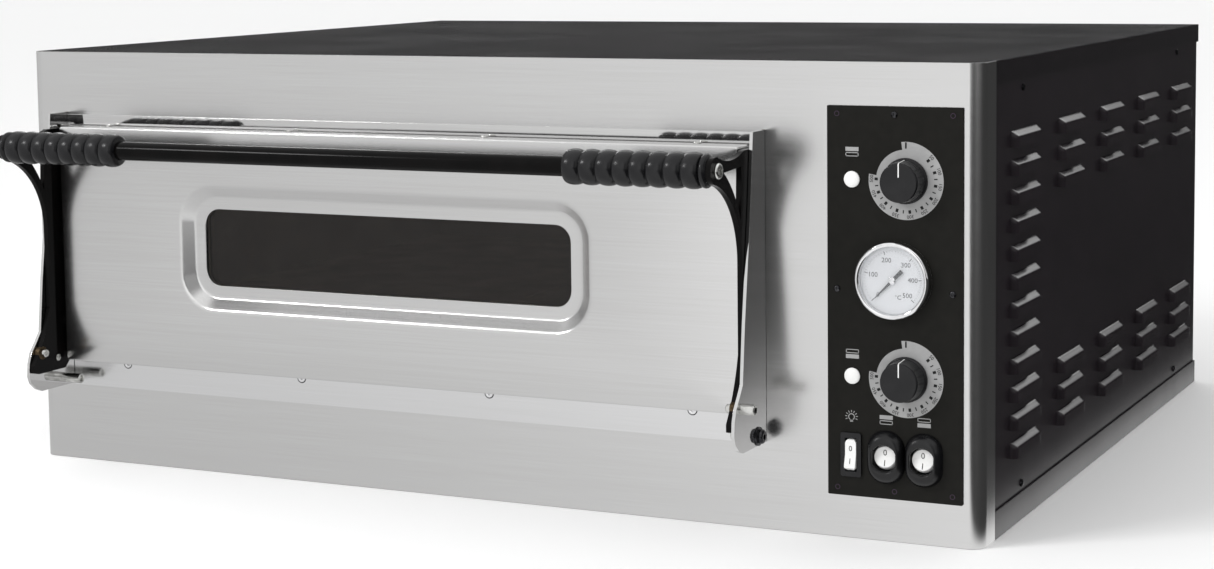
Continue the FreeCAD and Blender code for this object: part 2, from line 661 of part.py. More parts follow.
def stone_rails():
    """Two side rails and a middle rail that carry the stones."""
    back = CHAMBER_BACK
    front = CHAMBER_FRONT
    left = box(CHAMBER_LEFT, front, LINER_FLOOR, CHAMBER_LEFT + RAIL_WIDTH, back, STONE_BOTTOM)
    right = box(CHAMBER_RIGHT - RAIL_WIDTH, front, LINER_FLOOR, CHAMBER_RIGHT, back, STONE_BOTTOM)
    middle_front = front + ELEMENT_FRONT_GAP + 4 * ELEMENT_RADIUS
    low = LINER_FLOOR + LOWER_ELEMENT_RISE - ELEMENT_RADIUS
    middle = box(CHAMBER_MID - RAIL_WIDTH / 2, middle_front, low, CHAMBER_MID + RAIL_WIDTH / 2, back,
                 STONE_BOTTOM)
    bars = cross_bars()
    probes = probe_space()
    return [left.cut(bars), right.cut(bars).cut(probes), middle]


def deck_stones():
    room = CHAMBER_RIGHT - CHAMBER_LEFT - 2 * STONE_EDGE_GAP
    width = (room - (STONE_COUNT - 1) * STONE_JOINT) / STONE_COUNT
    stones = []
    for number in range(STONE_COUNT):
        x = CHAMBER_LEFT + STONE_EDGE_GAP + number * (width + STONE_JOINT)
        stone = rounded_box(x, CHAMBER_FRONT + STONE_EDGE_GAP, STONE_BOTTOM, x + width,
                            CHAMBER_BACK - STONE_EDGE_GAP, STONE_LEVEL, 3.0, "z")
        stones.append(stone)
    return stones


def chamber_liner():
    wall = LINER_SHEET
    outer = box(CHAMBER_LEFT - wall, CHAMBER_FRONT, LINER_FLOOR - wall, CHAMBER_RIGHT + wall,
                CHAMBER_BACK + wall, CHAMBER_TOP + wall)
    flange = box(CHAMBER_LEFT - wall - LINER_FLANGE, CHAMBER_FRONT, LINER_FLOOR - wall,
                 CHAMBER_RIGHT + wall + LINER_FLANGE, CHAMBER_FRONT + wall, CHAMBER_TOP + wall + LINER_FLANGE)
    inner = box(CHAMBER_LEFT, CHAMBER_FRONT - 1, LINER_FLOOR, CHAMBER_RIGHT, CHAMBER_BACK, CHAMBER_TOP)
    liner = outer.fuse(flange).cut(inner)
    cuts = element_holes(CHAMBER_BACK - 1, CHAMBER_BACK + 2 * wall)
    cuts.append(rod_y(lamp_x(), CHAMBER_BACK - 1, CHAMBER_BACK + 2 * wall, lamp_z(), 27.0))
    return liner.cut(cuts).cut(probe_space())


def bottom_insulation():
    return box(BLANKET_OUTER_LEFT, BLANKET_FRONT, SHEET, BLANKET_OUTER_RIGHT, BLANKET_BACK,
               LINER_FLOOR - LINER_SHEET)


def top_insulation():
    low = CHAMBER_TOP + LINER_SHEET
    return box(BLANKET_OUTER_LEFT, BLANKET_FRONT, low, BLANKET_OUTER_RIGHT, BLANKET_BACK, low + BLANKET_TOP)


def wall_insulation():
    """Left, right and rear blankets, each its own piece."""
    low = LINER_FLOOR - LINER_SHEET
    high = CHAMBER_TOP + LINER_SHEET
    wall = LINER_SHEET
    left = box(BLANKET_OUTER_LEFT, BLANKET_FRONT, low, CHAMBER_LEFT - wall, CHAMBER_BACK + wall, high)
    right = box(CHAMBER_RIGHT + wall, BLANKET_FRONT, low, BLANKET_OUTER_RIGHT, CHAMBER_BACK + wall, high)
    rear = box(BLANKET_OUTER_LEFT, CHAMBER_BACK + wall, low, BLANKET_OUTER_RIGHT, BLANKET_BACK, high)
    rear_cuts = element_holes(CHAMBER_BACK, BLANKET_BACK + 1)
    rear_cuts.append(rod_y(lamp_x(), CHAMBER_BACK, BLANKET_BACK + 1, lamp_z(), 30.2))
    return [left, right.cut(probe_space()), rear.cut(rear_cuts)]


def control_bulkhead():
    """Sheet that keeps the chamber's heat out of the control bay."""
    sheet = box(BULKHEAD_X, BLANKET_FRONT, SHEET, BULKHEAD_X + SHEET, BODY_DEPTH - 3 * SHEET - 2 * TUCK,
                BODY_HEIGHT - ROOF_LIP)
    wires = [rod_x(BULKHEAD_X - 1, BULKHEAD_X + SHEET + 1, BLANKET_BACK + 12, z, WIRE_RADIUS + 3)
             for z in wire_levels()]
    return sheet.cut(wires).cut(probe_space())


def lamp_x():
    return CHAMBER_RIGHT - 60


def lamp_z():
    return (STONE_LEVEL + CHAMBER_TOP) / 2 - LAMP_DROP


def chamber_lamp():
    """Lamp holder that goes in through the rear wall, and the bulb in it."""
    front = CHAMBER_BACK + LINER_SHEET
    floor = BLANKET_BACK + 2 * LAMP_CUP_WALL
    cup = rod_y(lamp_x(), front, floor + 2 * LAMP_CUP_WALL, lamp_z(), LAMP_CUP_RADIUS)
    cup = cup.cut(rod_y(lamp_x(), front - 1, floor, lamp_z(), LAMP_CUP_RADIUS - LAMP_CUP_WALL))
    bulb = Part.makeSphere(BULB_RADIUS, vec(lamp_x(), front + BULB_BACK, lamp_z()))
    neck = rod_y(lamp_x(), front + BULB_BACK + 6, floor, lamp_z(), BULB_NECK_RADIUS)
    return [cup, bulb.fuse(neck)]


def lamp_glass():
    """Screw-in glass dome over the bulb."""
    front = CHAMBER_BACK - 6
    back = CHAMBER_BACK + LINER_SHEET + 12
    body = rod_y(lamp_x(), front, back, lamp_z(), 26.8)
    rim = [edge for edge in body.Edges if abs(edge.CenterOfMass.y - front) < 0.5 and edge.Length > 100]
    body = body.makeFillet(5.0, rim)
    return body.cut(rod_y(lamp_x(), front + 2, back + 1, lamp_z(), 24.5))


# ---- strips, wings and their bolts --------------------------------------------------------
def wing_top():
    return DOOR_TOP + WING_TOP_RISE


def wing_bottom():
    return DOOR_BOTTOM - 28.5


def wing_outline():
    """Front edge of a wing plate, from its top corner down round its foot, as y and z."""
    toe = -PIVOT_FORWARD - FOOT_REACH
    shin = [(-WING_TOP_REACH, wing_top()),
            (-WING_KNEE_REACH, DOOR_TOP - WING_KNEE_DROP),
            (-WING_SHIN_REACH, DOOR_BOTTOM + WING_SHIN_RISE),
            (-WING_ANKLE_REACH, DOOR_BOTTOM + WING_ANKLE_RISE)]
    foot = [(toe + back, DOOR_BOTTOM + rise) for back, rise in WING_FOOT]
    return shin + foot + [(toe + WING_SOLE_START, wing_bottom()), (0.0, wing_bottom())]


def wing():
    """Left wing plate, with the flange that bolts it behind the front panel."""
    outer = WING_LEFT - WING_THICKNESS
    inside = SHEET + WING_THICKNESS
    outline = wing_outline() + [(inside, wing_bottom()), (inside, wing_top())]
    plate = plate_yz(outline, outer, WING_LEFT)
    flange = box(WING_LEFT - WING_FLANGE, SHEET, wing_bottom(), outer, inside, wing_top())
    pivot = rod_x(outer - 1, WING_LEFT + 1, PIVOT_Y, PIVOT_Z, PIVOT_RADIUS)
    stop = rod_x(outer - 1, WING_LEFT + 1, -STOP_FORWARD, STOP_Z, STOP_BOLT_RADIUS)
    return plate.fuse(flange).cut([pivot, stop])


def stop_bolt():
    """Button-head bolt with its washer, on the left wing."""
    face = WING_LEFT - WING_THICKNESS
    seat = face - STOP_WASHER
    front = seat - STOP_HEAD
    washer = rod_x(seat, face, -STOP_FORWARD, STOP_Z, STOP_WASHER_RADIUS)
    washer = washer.cut(rod_x(seat - 1, face + 1, -STOP_FORWARD, STOP_Z, STOP_BOLT_RADIUS))
    head = rod_x(front, seat, -STOP_FORWARD, STOP_Z, STOP_HEAD_RADIUS)
    rim = [edge for edge in head.Edges if abs(edge.CenterOfMass.x - front) < 0.01 and edge.Closed]
    head = head.makeFillet(2.5, rim)
    shank = rod_x(seat, WING_LEFT + STOP_SLEEVE - 2, -STOP_FORWARD, STOP_Z, STOP_BOLT_RADIUS)
    socket = hex_socket(front, -STOP_FORWARD, STOP_Z, STOP_SOCKET, STOP_HEAD / 2, X_AXIS)
    return [head.fuse(shank).cut(socket), washer]


def stop_sleeve():
    sleeve = rod_x(WING_LEFT, WING_LEFT + STOP_SLEEVE, -STOP_FORWARD, STOP_Z, STOP_SLEEVE_RADIUS)
    return sleeve.cut(rod_x(WING_LEFT - 1, WING_LEFT + STOP_SLEEVE + 1, -STOP_FORWARD, STOP_Z,
                            STOP_BOLT_RADIUS))


def pivot_bolt(head_height):
    """Hinge bolt of the left wing and the nut that keeps the arm on it."""
    face = WING_LEFT - WING_THICKNESS
    arm_inner = WING_LEFT + ARM_WING_GAP + ARM_THICKNESS
    nut_face = arm_inner + PIVOT_NUT_GAP
    end = nut_face + PIVOT_NUT
    head = rod_x(face - head_height, face, PIVOT_Y, PIVOT_Z, PIVOT_HEAD_RADIUS)
    socket = hex_socket(face - head_height, PIVOT_Y, PIVOT_Z, PIVOT_SOCKET, 0.4 * head_height, X_AXIS)
    shank = rod_x(face, end, PIVOT_Y, PIVOT_Z, PIVOT_RADIUS)
    nut = hex_socket(nut_face, PIVOT_Y, PIVOT_Z, PIVOT_NUT_RADIUS, end - nut_face, X_AXIS)
    nut = nut.cut(rod_x(nut_face - 1, end + 1, PIVOT_Y, PIVOT_Z, PIVOT_RADIUS))
    return [head.fuse(shank).cut(socket), nut]


def sill_screw_z():
    return DOOR_BOTTOM - SILL_SCREW_DROP


def sill_plate():
    top = DOOR_BOTTOM - SILL_GAP
    plate = box(WING_LEFT + SILL_GAP, -SILL_THICKNESS, top - SILL_HEIGHT, WING_RIGHT - SILL_GAP, 0, top)
    cuts = []
    for x in sill_screw_places():
        cuts.append(rod_y(x, -SILL_THICKNESS - 1, 1, sill_screw_z(), CASING_SCREW_RADIUS))
        cuts.append(sill_screw_head(x))
    return plate.cut(cuts)


def sill_screw_head(x):
    """Countersunk head, flush with the sill's face."""
    return Part.makeCone(4.2, CASING_SCREW_RADIUS, 2.2, vec(x, -SILL_THICKNESS, sill_screw_z()), Y_AXIS)


def sill_screws():
    screws = []
    for x in sill_screw_places():
        shank = rod_y(x, -SILL_THICKNESS + 2.0, 8, sill_screw_z(), CASING_SCREW_RADIUS)
        socket = hex_socket(x, -SILL_THICKNESS, sill_screw_z(), 1.9, 1.6, Y_AXIS)
        screws.append(sill_screw_head(x).fuse(shank).cut(socket))
    return screws


def head_strip():
    low = DOOR_TOP + SILL_GAP
    return box(WING_LEFT + SILL_GAP, -HEAD_STRIP_THICKNESS, low, WING_RIGHT - SILL_GAP, 0,
               low + HEAD_STRIP_HEIGHT)


# ---- door ---------------------------------------------------------------------------------
def window_rect(inset):
    """Rectangle round the window, inset from the recess's outer edge."""
    return (DOOR_LEFT + WINDOW_SIDE + inset, DOOR_BOTTOM + WINDOW_BOTTOM + inset,
            DOOR_RIGHT - WINDOW_SIDE - inset, DOOR_TOP - WINDOW_TOP - inset)


def window_block(inset, y0, y1):
    """Rounded block through the window, whose corners stay concentric with the recess."""
    x0, z0, x1, z1 = window_rect(inset)
    return rounded_box(x0, y0, z0, x1, y1, z1, RECESS_RADIUS - inset, "y")


def recess(grow):
    """Sloping recess round the window, or its outer skin when it is grown by a sheet."""
    x0, z0, x1, z1 = window_rect(-grow)
    front = rounded_wire(x0, z0, x1, z1, DOOR_FACE, RECESS_RADIUS + grow)
    x0, z0, x1, z1 = window_rect(RECESS_SLOPE - grow)
    back = rounded_wire(x0, z0, x1, z1, DOOR_FACE + RECESS_DEPTH + grow, RECESS_RADIUS - RECESS_SLOPE + grow)
    return Part.makeLoft([front, back], True)


def door_skin():
    skin = rounded_box(DOOR_LEFT, DOOR_FACE, DOOR_BOTTOM, DOOR_RIGHT, DOOR_BACK, DOOR_TOP,
                       DOOR_EDGE_RADIUS, "y")
    rim = [edge for edge in skin.Edges if abs(edge.CenterOfMass.y - DOOR_FACE) < 0.01 and edge.Length > 20]
    skin = skin.makeFillet(DOOR_SHEET, rim)
    wall = DOOR_SHEET
    skin = skin.cut(box(DOOR_LEFT + wall, DOOR_FACE + wall, DOOR_BOTTOM + wall, DOOR_RIGHT - wall,
                        DOOR_BACK + 1, DOOR_TOP - wall))
    skin = skin.fuse(recess(wall)).cut(recess(0))
    opening = window_block(RECESS_SLOPE + GLASS_MARGIN, DOOR_FACE - 1, DOOR_BACK + 1)
    cuts = [opening]
    for z in arm_boss_places():
        cuts.append(rod_x(DOOR_LEFT - 1, DOOR_LEFT + 2 * wall, arm_boss_y(), z, ARM_SCREW_RADIUS))
        cuts.append(rod_x(DOOR_RIGHT - 2 * wall, DOOR_RIGHT + 1, arm_boss_y(), z, ARM_SCREW_RADIUS))
    for x in door_screw_places():
        cuts.append(rod_z(x, door_screw_y(), DOOR_TOP - 2 * wall, DOOR_TOP + 1, CASING_SCREW_RADIUS))
    return skin.cut(cuts)


def glass_front():
    return DOOR_FACE + RECESS_DEPTH + DOOR_SHEET


def door_glasses():
    """Outer and inner panes."""
    inset = RECESS_SLOPE + GLASS_MARGIN - GLASS_LAP
    front = glass_front()
    inner = front + GLASS_THICKNESS + GLASS_SPACER
    outer_pane = window_block(inset, front, front + GLASS_THICKNESS)
    inner_pane = window_block(inset, inner, inner + GLASS_THICKNESS)
    return [outer_pane, inner_pane]


def glass_seals():
    """Fibre rings between the panes and behind the inner pane."""
    inset = RECESS_SLOPE + GLASS_MARGIN - GLASS_LAP
    first = glass_front() + GLASS_THICKNESS
    second = first + GLASS_SPACER + GLASS_THICKNESS
    rings = []
    for start, end in ((first, first + GLASS_SPACER), (second, DOOR_BACK - INNER_PAN_SHEET)):
        ring = window_block(inset, start, end)
        rings.append(ring.cut(window_block(RECESS_SLOPE + GLASS_MARGIN, start - 1, end + 1)))
    return rings


def door_insulation():
    wall = DOOR_SHEET
    block = box(DOOR_LEFT + wall, DOOR_FACE + wall, DOOR_BOTTOM + wall, DOOR_RIGHT - wall,
                DOOR_BACK - INNER_PAN_SHEET, DOOR_TOP - wall)
    cuts = [window_block(-2 * wall, DOOR_FACE - 1, DOOR_BACK + 1)]
    for z in arm_boss_places():
        for x0 in (DOOR_LEFT, DOOR_RIGHT - ARM_SCREW_IN):
            cuts.append(rod_x(x0, x0 + ARM_SCREW_IN, arm_boss_y(), z, ARM_SCREW_RADIUS))
    for x in door_screw_places():
        cuts.append(rod_z(x, door_screw_y(), DOOR_TOP - DOOR_SCREW_IN, DOOR_TOP, CASING_SCREW_RADIUS))
    return block.cut(cuts)


def door_inner_pan():
    wall = DOOR_SHEET
    pan = box(DOOR_LEFT + wall, DOOR_BACK - INNER_PAN_SHEET, DOOR_BOTTOM + wall, DOOR_RIGHT - wall,
              DOOR_BACK, DOOR_TOP - wall)
    return pan.cut(window_block(RECESS_SLOPE + GLASS_MARGIN, DOOR_FACE, 1))


def door_gasket():
    """Rope seal on the back of the door, round the chamber's mouth."""
    edge = DOOR_SHEET
    x0 = DOOR_LEFT + edge
    x1 = DOOR_RIGHT - edge
    z0 = DOOR_BOTTOM + GASKET_BOTTOM_RISE
    z1 = DOOR_TOP - GASKET_TOP_DROP
    front = DOOR_BACK
    back = -GASKET_CLEARANCE
    width = GASKET_WIDTH
    ring = rounded_box(x0, front, z0, x1, back, z1, 2 * width, "y")
    hole = rounded_box(x0 + width, front - 1, z0 + width, x1 - width, back + 1, z1 - width, width, "y")
    return ring.cut(hole)


def door_screw_places():
    return spread(DOOR_LEFT + PAN_SCREW_INSET, DOOR_RIGHT - PAN_SCREW_INSET, DOOR_SCREWS)


def door_screw_y():
    return DOOR_BACK - INNER_PAN_SHEET - 2 * CASING_SCREW_RADIUS


def door_screws():
    """Low-head screws along the top of the door."""
    screws = []
    for x in door_screw_places():
        head = rod_z(x, door_screw_y(), DOOR_TOP, DOOR_TOP + DOOR_SCREW_HEAD, CASING_SCREW_HEAD)
        shank = rod_z(x, door_screw_y(), DOOR_TOP - DOOR_SCREW_IN + 1, DOOR_TOP, CASING_SCREW_RADIUS)
        screws.append(head.fuse(shank))
    return screws


def arm_boss_y():
    return -ARM_BACK - ARM_BOSS_RADIUS


def arm_boss_places():
    """Heights of the bosses that the arms are screwed to the door through."""
    return spread(DOOR_BOTTOM + 40, DOOR_TOP - 30, 3)


def arm():
    """Left arm: a foot on the hinge bolt, an upright, and two branches that hold the handle's eye."""
    x0 = WING_LEFT + ARM_WING_GAP
    x1 = x0 + ARM_THICKNESS
    low = DOOR_BOTTOM - ARM_DROP
    top = DOOR_TOP - ARM_TOP_DROP
    toe = PIVOT_Y - ARM_TOE
    eye_y = BAR_Y
    eye_z = BAR_Z
    fork_y = -ARM_FRONT
    fork_z = eye_z - FORK_DROP
    edges = [
        line_yz((-ARM_BACK, top), (fork_y + 5, top), x0),
        arc_yz((fork_y + 5, top), (eye_y + 34, eye_z + 6.5), (eye_y + 5, eye_z + 10.9), x0),
        arc_yz((eye_y + 5, eye_z + 10.9), (eye_y - EYE_RADIUS, eye_z), (eye_y - 3, eye_z - 11.6), x0),
        arc_yz((eye_y - 3, eye_z - 11.6), (eye_y + 38, eye_z - 36), (fork_y, fork_z), x0),
        line_yz((fork_y, fork_z), (fork_y, low + 66), x0),
        arc_yz((fork_y, low + 66), (toe + 16, low + 34), (toe, low + 9), x0),
        line_yz((toe, low + 9), (toe, low + 2), x0),
        line_yz((toe, low + 2), (toe + 7, low), x0),
        line_yz((toe + 7, low), (-2 * ARM_BACK, low), x0),
        line_yz((-2 * ARM_BACK, low), (-ARM_BACK, low + ARM_BACK), x0),
        line_yz((-ARM_BACK, low + ARM_BACK), (-ARM_BACK, top), x0),
    ]
    plate = Part.Face(Part.Wire(edges)).extrude(vec(ARM_THICKNESS, 0, 0))
    gap_edges = [
        line_yz((fork_y - 1, eye_z - 1), (eye_y + 17, eye_z - 3), x0),
        arc_yz((eye_y + 17, eye_z - 3), (eye_y + 38, eye_z - 22), (fork_y - 3, eye_z - 48), x0),
        line_yz((fork_y - 3, eye_z - 48), (fork_y - 1, eye_z - 1), x0),
    ]
    gap = Part.Face(Part.Wire(gap_edges)).extrude(vec(ARM_THICKNESS, 0, 0))
    bosses = [rod_x(x1, DOOR_LEFT, arm_boss_y(), z, ARM_BOSS_RADIUS) for z in arm_boss_places()]
    cuts = [gap, rod_x(x0 - 1, x1 + 1, PIVOT_Y, PIVOT_Z, PIVOT_RADIUS + PIVOT_CLEARANCE + BUSH_WALL),
            rod_x(x0 - 1, x1 + 1, eye_y, eye_z, HANDLE_SCREW_RADIUS),
            rod_x(x1 - 2, x1 + 1, -FOOT_SCREW_FORWARD, foot_screw_z(), CASING_SCREW_RADIUS)]
    for z in arm_boss_places():
        cuts.append(rod_x(x0 - 1, DOOR_LEFT + 1, arm_boss_y(), z, ARM_SCREW_RADIUS))
        cuts.append(rod_x(x0 - 1, x0 + ARM_SCREW_HEAD, arm_boss_y(), z, ARM_SCREW_HEAD_RADIUS))
    return plate.fuse(bosses).cut(cuts)


def foot_screw_z():
    return DOOR_BOTTOM + FOOT_SCREW_RISE


def arm_screws():
    """Screws that hold the left arm to the door, and the small one in its foot."""
    x0 = WING_LEFT + ARM_WING_GAP
    screws = []
    for z in arm_boss_places():
        head = rod_x(x0 + 0.1, x0 + ARM_SCREW_HEAD, arm_boss_y(), z, ARM_SCREW_HEAD_RADIUS)
        shank = rod_x(x0 + ARM_SCREW_HEAD, DOOR_LEFT + ARM_SCREW_IN - 1, arm_boss_y(), z, ARM_SCREW_RADIUS)
        socket = hex_socket(x0 + 0.1, arm_boss_y(), z, 2.4, 2.0, X_AXIS)
        screws.append(head.fuse(shank).cut(socket))
    inner = x0 + ARM_THICKNESS
    head = rod_x(inner, inner + 2, -FOOT_SCREW_FORWARD, foot_screw_z(), FOOT_SCREW_HEAD)
    shank = rod_x(inner - 2, inner, -FOOT_SCREW_FORWARD, foot_screw_z(), CASING_SCREW_RADIUS)
    screws.append(head.fuse(shank))
    return screws


def pivot_bush():
    x0 = WING_LEFT + ARM_WING_GAP
    x1 = x0 + ARM_THICKNESS
    inner = PIVOT_RADIUS + PIVOT_CLEARANCE
    bush = rod_x(x0, x1, PIVOT_Y, PIVOT_Z, inner + BUSH_WALL)
    return bush.cut(rod_x(x0 - 1, x1 + 1, PIVOT_Y, PIVOT_Z, inner))


def handle_bar():
    left = WING_LEFT + ARM_WING_GAP + ARM_THICKNESS
    right = WING_RIGHT - ARM_WING_GAP - ARM_THICKNESS
    bar = rod_x(left, right, BAR_Y, BAR_Z, BAR_RADIUS)
    depth = 25.0
    holes = [rod_x(left - 1, left + depth, BAR_Y, BAR_Z, HANDLE_SCREW_RADIUS),
             rod_x(right - depth, right + 1, BAR_Y, BAR_Z, HANDLE_SCREW_RADIUS)]
    return bar.cut(holes)


def grip():
    """Left grip: a ring and a row of rounded bulbs, turned round the bar."""
    start = WING_LEFT + ARM_WING_GAP + ARM_THICKNESS
    edges = []
    x = start
    spans = [(GRIP_RING, GRIP_RADIUS - 1.0)] + [(GRIP_PITCH, GRIP_RADIUS)] * GRIP_BULBS
    for width, radius in spans:
        first = vec(x, BAR_Y, BAR_Z + GRIP_WAIST)
        crown = vec(x + width / 2, BAR_Y, BAR_Z + radius)
        last = vec(x + width, BAR_Y, BAR_Z + GRIP_WAIST)
        edges.append(Part.Arc(first, crown, last).toShape())
        x += width
    inside = BAR_Z + BAR_RADIUS
    edges.append(Part.LineSegment(vec(x, BAR_Y, BAR_Z + GRIP_WAIST), vec(x, BAR_Y, inside)).toShape())
    edges.append(Part.LineSegment(vec(x, BAR_Y, inside), vec(start, BAR_Y, inside)).toShape())
    edges.append(Part.LineSegment(vec(start, BAR_Y, inside), vec(start, BAR_Y, BAR_Z + GRIP_WAIST)).toShape())
    profile = Part.Face(Part.Wire(edges))
    return profile.revolve(vec(start, BAR_Y, BAR_Z), X_AXIS, 360)


def handle_screw():
    """Button-head screw through the left arm's eye into the bar."""
    face = WING_LEFT + ARM_WING_GAP
    head = rod_x(face - 4.5, face, BAR_Y, BAR_Z, 7.0)
    rim = [edge for edge in head.Edges if abs(edge.CenterOfMass.x - (face - 4.5)) < 0.01 and edge.Closed]
    head = head.makeFillet(3.0, rim)
    shank = rod_x(face, face + ARM_THICKNESS + 20, BAR_Y, BAR_Z, HANDLE_SCREW_RADIUS)
    return head.fuse(shank).cut(hex_socket(face - 4.5, BAR_Y, BAR_Z, 2.9, 2.5, X_AXIS))


# ---- controls -----------------------------------------------------------------------------
def control_panel():
    plate = rounded_box(PLATE_LEFT, -PANEL_PLATE, PLATE_BOTTOM, PLATE_RIGHT, 0, PLATE_TOP, PANEL_RADIUS, "y")
    cuts = []
    back = 1.0
    for z in (UPPER_KNOB_Z, LOWER_KNOB_Z):
        cuts.append(rod_y(KNOB_X, -PANEL_PLATE - 1, back, z, SHAFT_RADIUS + 1))
        cuts.append(rod_y(PLATE_LEFT + LAMP_OFFSET, -PANEL_PLATE - 1, back, z, LAMP_RADIUS - 1))
    cuts.append(rod_y(GAUGE_X, -PANEL_PLATE - 1, back, GAUGE_Z, GAUGE_CASE_RADIUS))
    for x, z in control_screw_places():
        cuts.append(rod_y(x, -PANEL_PLATE - 1, back, z, CASING_SCREW_RADIUS))
    cuts.append(switch_block(LIGHT_SWITCH_OFFSET, LIGHT_ROCKER_RADIUS, LIGHT_ROCKER_WIDTH,
                             -PANEL_PLATE, back))
    for offset in POWER_SWITCH_OFFSETS:
        cuts.append(switch_block(offset, POWER_ROCKER_RADIUS, 2 * POWER_ROCKER_RADIUS, -PANEL_PLATE, back))
    return plate.cut(cuts)


def control_screws():
    screws = []
    for x, z in control_screw_places():
        head = rod_y(x, -PANEL_PLATE - PANEL_SCREW_STAND, -PANEL_PLATE, z, PANEL_SCREW_HEAD)
        shank = rod_y(x, -PANEL_PLATE, 6, z, CASING_SCREW_RADIUS)
        screws.append(head.fuse(shank))
    return screws


def knob(z):
    """Control knob with a skirt, a finger body and a bore for the shaft."""
    back = -PANEL_PLATE - KNOB_GAP
    skirt = rod_y(KNOB_X, back - KNOB_SKIRT, back, z, KNOB_RADIUS)
    body = Part.makeCone(KNOB_RADIUS - 3.2, KNOB_RADIUS - 2.0, KNOB_BODY,
                         vec(KNOB_X, back - KNOB_SKIRT - KNOB_BODY, z),
                         Y_AXIS)
    front = back - KNOB_SKIRT - KNOB_BODY
    rim = [edge for edge in body.Edges if edge.Closed and abs(edge.CenterOfMass.y - front) < 0.01]
    body = body.makeFillet(1.5, rim)
    bore = rod_y(KNOB_X, back - KNOB_SKIRT - KNOB_BODY / 2, back + 1, z, SHAFT_RADIUS)
    return skirt.fuse(body).cut(bore)


def thermostat_shaft(z):
    back = -PANEL_PLATE - KNOB_GAP
    return rod_y(KNOB_X, back - KNOB_SKIRT - KNOB_BODY / 2, THERMOSTAT_DEPTH / 2, z, SHAFT_RADIUS)


def probe_run(kind):
    """Height of a thermostat's body, height of its probe, and how far back its tube turns."""
    ceiling = CHAMBER_TOP - UPPER_ELEMENT_DROP
    upper = (UPPER_KNOB_Z, ceiling, PROBE_SETBACK)
    lower = (LOWER_KNOB_Z, STONE_BOTTOM - 2.5 * PROBE_RADIUS, PROBE_SETBACK + 60)
    gauge = (GAUGE_Z, ceiling, PROBE_SETBACK + 120)
    return {"upper": upper, "lower": lower, "gauge": gauge}[kind]


def probe_x():
    """Tip of each probe, just short of the nearest heating element."""
    middles, half = hairpin_legs()
    return middles[-1] + half + ELEMENT_RADIUS + PROBE_TIP_GAP


def probe_space():
    """Holes for the probes through the bulkhead, the blanket, the liner and the rail."""
    holes = []
    for kind in ("upper", "lower", "gauge"):
        _, z, y = probe_run(kind)
        holes.append(rod_x(probe_x() - 1, BULKHEAD_X + 6, y, z, PROBE_RADIUS + PROBE_CLEARANCE))
    return holes


def probe(kind, x, y):
    """Capillary tube from the back of an instrument to the probe in the chamber."""
    body_z, probe_z, run_y = probe_run(kind)
    middle = BULKHEAD_X + 30
    points = [vec(x, y, body_z), vec(x, run_y, body_z), vec(middle, run_y, body_z),
              vec(middle, run_y, probe_z), vec(BULKHEAD_X, run_y, probe_z)]
    if abs(body_z - probe_z) < 4 * CAPILLARY_RADIUS + 16:
        points = [vec(x, y, body_z), vec(x, run_y, body_z), vec(middle + 25, run_y, body_z),
                  vec(BULKHEAD_X + 8, run_y, probe_z), vec(BULKHEAD_X, run_y, probe_z)]
    line = tube(points, CAPILLARY_RADIUS, 6.0)
    bulb = rod_x(probe_x(), BULKHEAD_X, run_y, probe_z, PROBE_RADIUS)
    return line.fuse(bulb)


def thermostat(z, kind):
    half = THERMOSTAT_SIDE / 2
    body = rounded_box(KNOB_X - half, 0, z - half, KNOB_X + half, THERMOSTAT_DEPTH, z + half, 3.0, "y")
    bore = rod_y(KNOB_X, -1, THERMOSTAT_DEPTH / 2, z, SHAFT_RADIUS + SHAFT_CLEARANCE)
    return body.fuse(probe(kind, KNOB_X, THERMOSTAT_DEPTH)).cut(bore)


def pilot_lamp(z):
    """Lens in front of the plate and the lamp body behind it."""
    x = PLATE_LEFT + LAMP_OFFSET
    lens = Part.makeSphere(10.0, vec(x, -PANEL_PLATE + 7.0, z))
    lens = lens.common(rod_y(x, -PANEL_PLATE - 5, -PANEL_PLATE, z, LAMP_RADIUS))
    body = rod_y(x, -PANEL_PLATE, 24, z, LAMP_RADIUS - 1)
    return lens.fuse(body)


def thermometer_case():
    """Case with its crimped bezel, and the capillary to its own probe."""
    front = -PANEL_PLATE
    bezel = rod_y(GAUGE_X, front - GAUGE_STAND, front, GAUGE_Z, GAUGE_RADIUS)
    rim = [edge for edge in bezel.Edges
           if edge.Closed and abs(edge.CenterOfMass.y - front + GAUGE_STAND) < 0.01]
    bezel = bezel.makeFillet(3.0, rim)
    body = rod_y(GAUGE_X, front, GAUGE_DEPTH, GAUGE_Z, GAUGE_CASE_RADIUS)
    case = bezel.fuse(body).cut(rod_y(GAUGE_X, front - GAUGE_STAND - 1, GAUGE_DEPTH - 2, GAUGE_Z,
                                      GAUGE_FACE_RADIUS))
    return case.fuse(probe("gauge", GAUGE_X, GAUGE_DEPTH - 1))


def gauge_dial_front():
    return -PANEL_PLATE - GAUGE_STAND + 5.0


def thermometer_dial():
    """White dial on a short post that reaches the back of the case."""
    front = gauge_dial_front()
    dial = rod_y(GAUGE_X, front, front + 1, GAUGE_Z, GAUGE_FACE_RADIUS)
    post = rod_y(GAUGE_X, front + 1, GAUGE_DEPTH - 2, GAUGE_Z, 10.0)
    return dial.fuse(post).cut(rod_y(GAUGE_X, front - 1, front + 8, GAUGE_Z, 1.05))


def thermometer_glass():
    front = -PANEL_PLATE - GAUGE_STAND + 0.8
    return rod_y(GAUGE_X, front, front + 1.5, GAUGE_Z, GAUGE_FACE_RADIUS)


